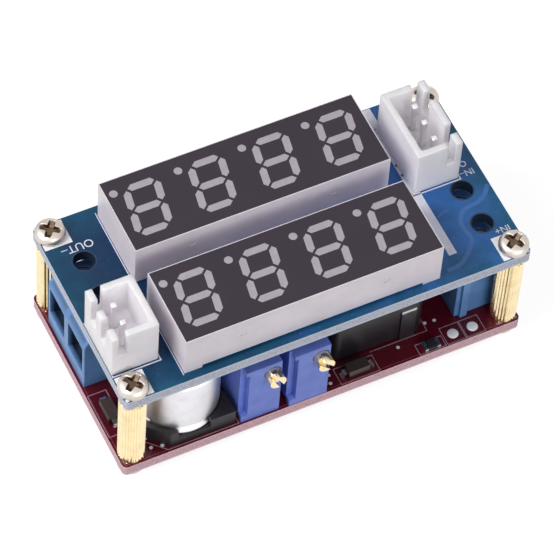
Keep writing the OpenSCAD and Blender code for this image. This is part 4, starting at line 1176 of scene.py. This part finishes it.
class MODULE_OT_chips(bpy.types.Operator):
    """Finish the inductor, the regulator, the diodes and the small surface parts"""

    bl_idname = "module.chips"
    bl_label = "Chips And Inductor"

    def execute(self, context):
        dress(["inductor_core"], ferrite())
        round_edges(["inductor_core"], 0.3, 3)
        bodies = ["regulator_body", "catch_diode_body", "amplifier_body", "controller_body", "current_shunt"]
        dress(bodies, black_moulding())
        round_edges(bodies, 0.06)
        diodes = ["edge_diode_body", "front_diode_body"]
        dress(diodes, moulded("Diode Resin", plastic_settings().diode, roughness=0.42))
        round_edges(diodes, 0.06)
        dress(["chip_resistors"], black_moulding())
        dress(["chip_capacitors"], moulded("Ceramic", plastic_settings().ceramic, roughness=0.5,
                                           patch_mm=0.6))
        dress(["status_lamps"], moulded("Lamp Resin", plastic_settings().lamp, roughness=0.2, soft=0.3,
                                        soft_mm=0.2))
        round_edges(["chip_resistors", "chip_capacitors", "status_lamps"], 0.05)
        tinned = [n for n in NODES if n.endswith(("_terminals", "amplifier_leads", "controller_leads"))]
        tinned += ["regulator_tab_and_leads", "chip_ends"]
        dress(tinned, tin())
        dress(["inductor_terminals"], strap_metal())
        return {"FINISHED"}


class MODULE_OT_displays(bpy.types.Operator):
    """Finish the two four-digit displays"""

    bl_idname = "module.displays"
    bl_label = "Displays"

    def execute(self, context):
        for side in ("front", "back"):
            dress([f"{side}_display_case"], case_plastic())
            round_edges([f"{side}_display_case"], 0.05, 2, 60, firm=True)
            dress([f"{side}_display_face"], face_film())
            dress([f"{side}_display_segments"], bar_resin())
            dress([f"{side}_display_pins"], tin())
        return {"FINISHED"}


class MODULE_OT_headers(bpy.types.Operator):
    """Finish the two shrouded headers"""

    bl_idname = "module.headers"
    bl_label = "Shrouded Headers"

    def execute(self, context):
        names = ["two_pin_header", "three_pin_header"]
        dress(names, nylon())
        round_edges(names, 0.14, 3)
        pins = ["two_pin_header_pins", "three_pin_header_pins"]
        s = context.scene.module_metal
        dress(pins, metal("Header Pin Tin", s.header_pin, s.header_shade, across_mm=0.1, along_mm=0.1,
                          upright_mm=1.0, roughness=0.38, spread=0.15))
        round_edges(pins, 0.08)
        return {"FINISHED"}


class MODULE_OT_solder(bpy.types.Operator):
    """Add solder where pins go through the boards"""

    bl_idname = "module.solder"
    bl_label = "Solder"

    def execute(self, context):
        drop = 0.6
        shapes = []
        for node, (under, wide) in SOLDERED.items():
            for x, y in pin_places(node):
                shapes.append(solder_cone(x, y, under, wide, drop, PIN_R))
        piece("solder_joints", joined(shapes), solder(), smooth=50)
        self.filled_pads()
        return {"FINISHED"}

    def filled_pads(self):
        """Two round pads filled with solder near the power board's front, each in a ring of small dots."""
        radius, y = SOLDER_PAD_R, SOLDER_PAD_Y
        domes = [lathe([(0, 0), (radius, 0), (0.96 * radius, 0.05), (0.7 * radius, 0.09), (0, 0.1)],
                       x, y, POWER_TOP, 40) for x in SOLDER_PADS]
        # the solder domes take the same painted reflection as the pads
        piece("filled_pads", joined(domes), pad_tin_and_reflection(), smooth=50)
        dots = []
        away = 0.95
        for x in SOLDER_PADS:
            for a in np.linspace(0, 2 * math.pi, 14, endpoint=False):
                dots.append(disc(x + away * math.cos(a), y + away * math.sin(a), POWER_TOP, 0.09, DOT, 10))
        piece("filled_pad_dots", joined(dots), face_film())


class MODULE_OT_stage(bpy.types.Operator):
    """Set up the floor, the lamps, the surrounding light and the camera"""

    bl_idname = "module.stage"
    bl_label = "Stage"

    def execute(self, context):
        s = context.scene.module_stage
        self.floor()
        self.surroundings(s.sky)
        centre = spot(BOARD_L / 2, BOARD_W / 2, 8)
        self.lamp("Key", centre, KEY_PLACE, KEY_SIZE, s.key)
        self.lamp("Fill", centre, FILL_PLACE, FILL_SIZE, s.fill)
        self.camera(s)
        context.scene.view_settings.view_transform = "Standard"
        return {"FINISHED"}

    def floor(self):
        """A pale floor a hair under the lowest pins, which takes the shadow and is near white itself."""
        half, gap = 1.5, 0.05 * MM
        z = CAD_BOX[0][2] - gap
        mesh = bpy.data.meshes.new("floor")
        mesh.from_pydata([(-half, -half, z), (half, -half, z), (half, half, z), (-half, half, z)], [],
                         [(0, 1, 2, 3)])
        obj = bpy.data.objects.new("floor", mesh)
        bpy.context.scene.collection.objects.link(obj)
        material, r, shader = start_material("Pale Floor")
        cloud = r.noise(r.object_place(), 60.0, 2.0)
        pale = r.blend(cloud, (0.93, 0.93, 0.93), (0.90, 0.90, 0.90))
        seen = seen_directly(r)
        r.feed(shader.inputs["Base Color"], r.blend(seen, (0.30, 0.29, 0.29), pale))
        shader.inputs["Roughness"].default_value = 0.8
        glow = r.add("ShaderNodeEmission", Color=(1.0, 1.0, 1.0), Strength=1.2)
        mix = r.add("ShaderNodeMixShader", Fac=r.calc("MULTIPLY", seen, 0.72))
        r.tree.links.new(shader.outputs["BSDF"], mix.inputs[1])
        r.tree.links.new(glow.outputs[0], mix.inputs[2])
        r.tree.links.new(mix.outputs[0], r.tree.get_output_node("ALL").inputs["Surface"])
        mesh.materials.append(material)

    def surroundings(self, strength):
        """White where the camera or glass looks, and a soft pale sky that lights the rest."""
        world = bpy.data.worlds.new("Studio")
        world.use_nodes = True
        bpy.context.scene.world = world
        world.node_tree.nodes.clear()
        r = Recipe(world.node_tree)
        seen = seen_directly(r)
        height = r.add("ShaderNodeSeparateXYZ", Vector=r.add("ShaderNodeTexCoord").outputs["Generated"])
        sky = r.step(height.outputs["Z"], 0.0, 0.9, 0.35, 1.0)
        soft = r.add("ShaderNodeBackground", Color=(1.0, 0.98, 0.99),
                     Strength=r.calc("MULTIPLY", sky, strength))
        white = r.add("ShaderNodeBackground", Color=(1.0, 1.0, 1.0), Strength=1.0)
        mix = r.add("ShaderNodeMixShader", Fac=seen)
        r.tree.links.new(soft.outputs[0], mix.inputs[1])
        r.tree.links.new(white.outputs[0], mix.inputs[2])
        out = r.add("ShaderNodeOutputWorld")
        r.tree.links.new(mix.outputs[0], out.inputs["Surface"])

    def lamp(self, name, centre, offset, size, power):
        """A round lamp that stands an offset away from the centre and faces it."""
        data = bpy.data.lights.new(name, "AREA")
        data.shape = "DISK"
        data.size = size
        data.energy = power
        obj = bpy.data.objects.new(name, data)
        bpy.context.scene.collection.objects.link(obj)
        obj.location = centre + np.array(offset)
        obj.rotation_euler = Vector([-v for v in offset]).to_track_quat("-Z", "Y").to_euler()

    def camera(self, s):
        """Stands back from the aim along azimuth and elevation, then turns about its own axis."""
        a, e, roll = s.azimuth, s.elevation, s.roll
        back = np.array([math.sin(a) * math.cos(e), -math.cos(a) * math.cos(e), math.sin(e)])
        right = np.array([math.cos(a), math.sin(a), 0.0])
        up = np.cross(back, right)
        x_axis = math.cos(roll) * right + math.sin(roll) * up
        y_axis = math.cos(roll) * up - math.sin(roll) * right
        place = np.array(s.aim) + back * s.distance
        matrix = np.eye(4)
        matrix[:3, 0], matrix[:3, 1], matrix[:3, 2], matrix[:3, 3] = x_axis, y_axis, back, place
        data = bpy.data.cameras.new("Camera")
        data.lens = s.lens
        data.sensor_width = 36.0
        data.clip_start = 0.01
        data.clip_end = 10.0
        obj = bpy.data.objects.new("Camera", data)
        bpy.context.scene.collection.objects.link(obj)
        obj.matrix_world = Matrix(matrix.tolist())
        bpy.context.scene.camera = obj


class MODULE_PT_panel(bpy.types.Panel):
    """Lists the module's steps"""

    bl_idname = "MODULE_PT_panel"
    bl_label = "Converter Module"
    bl_space_type = "VIEW_3D"
    bl_region_type = "UI"
    bl_category = "Module"

    def draw(self, context):
        for operator in OPERATORS:
            self.layout.operator(operator.bl_idname)
        for name, group in SETTINGS.items():
            box = self.layout.box()
            box.label(text=group.__name__)
            for prop in group.__annotations__:
                box.prop(getattr(context.scene, name), prop)


OPERATORS = (
    MODULE_OT_boards, MODULE_OT_screws, MODULE_OT_terminals, MODULE_OT_trimmers, MODULE_OT_capacitors,
    MODULE_OT_chips, MODULE_OT_displays, MODULE_OT_headers, MODULE_OT_solder, MODULE_OT_stage,
)
CLASSES = (*SETTINGS.values(), *OPERATORS, MODULE_PT_panel)


def register():
    """Adds the classes and the scene's settings."""
    for cls in CLASSES:
        bpy.utils.register_class(cls)
    for name, group in SETTINGS.items():
        setattr(bpy.types.Scene, name, bpy.props.PointerProperty(type=group))


def unregister():
    """Takes the settings and classes away again."""
    for name in SETTINGS:
        delattr(bpy.types.Scene, name)
    for cls in reversed(CLASSES):
        bpy.utils.unregister_class(cls)


def main():
    """Finishes the module step by step."""
    register()
    bpy.ops.module.boards()
    bpy.ops.module.screws()
    bpy.ops.module.terminals()
    bpy.ops.module.trimmers()
    bpy.ops.module.capacitors()
    bpy.ops.module.chips()
    bpy.ops.module.displays()
    bpy.ops.module.headers()
    bpy.ops.module.solder()
    bpy.ops.module.stage()


if __name__ == "__main__":
    main()
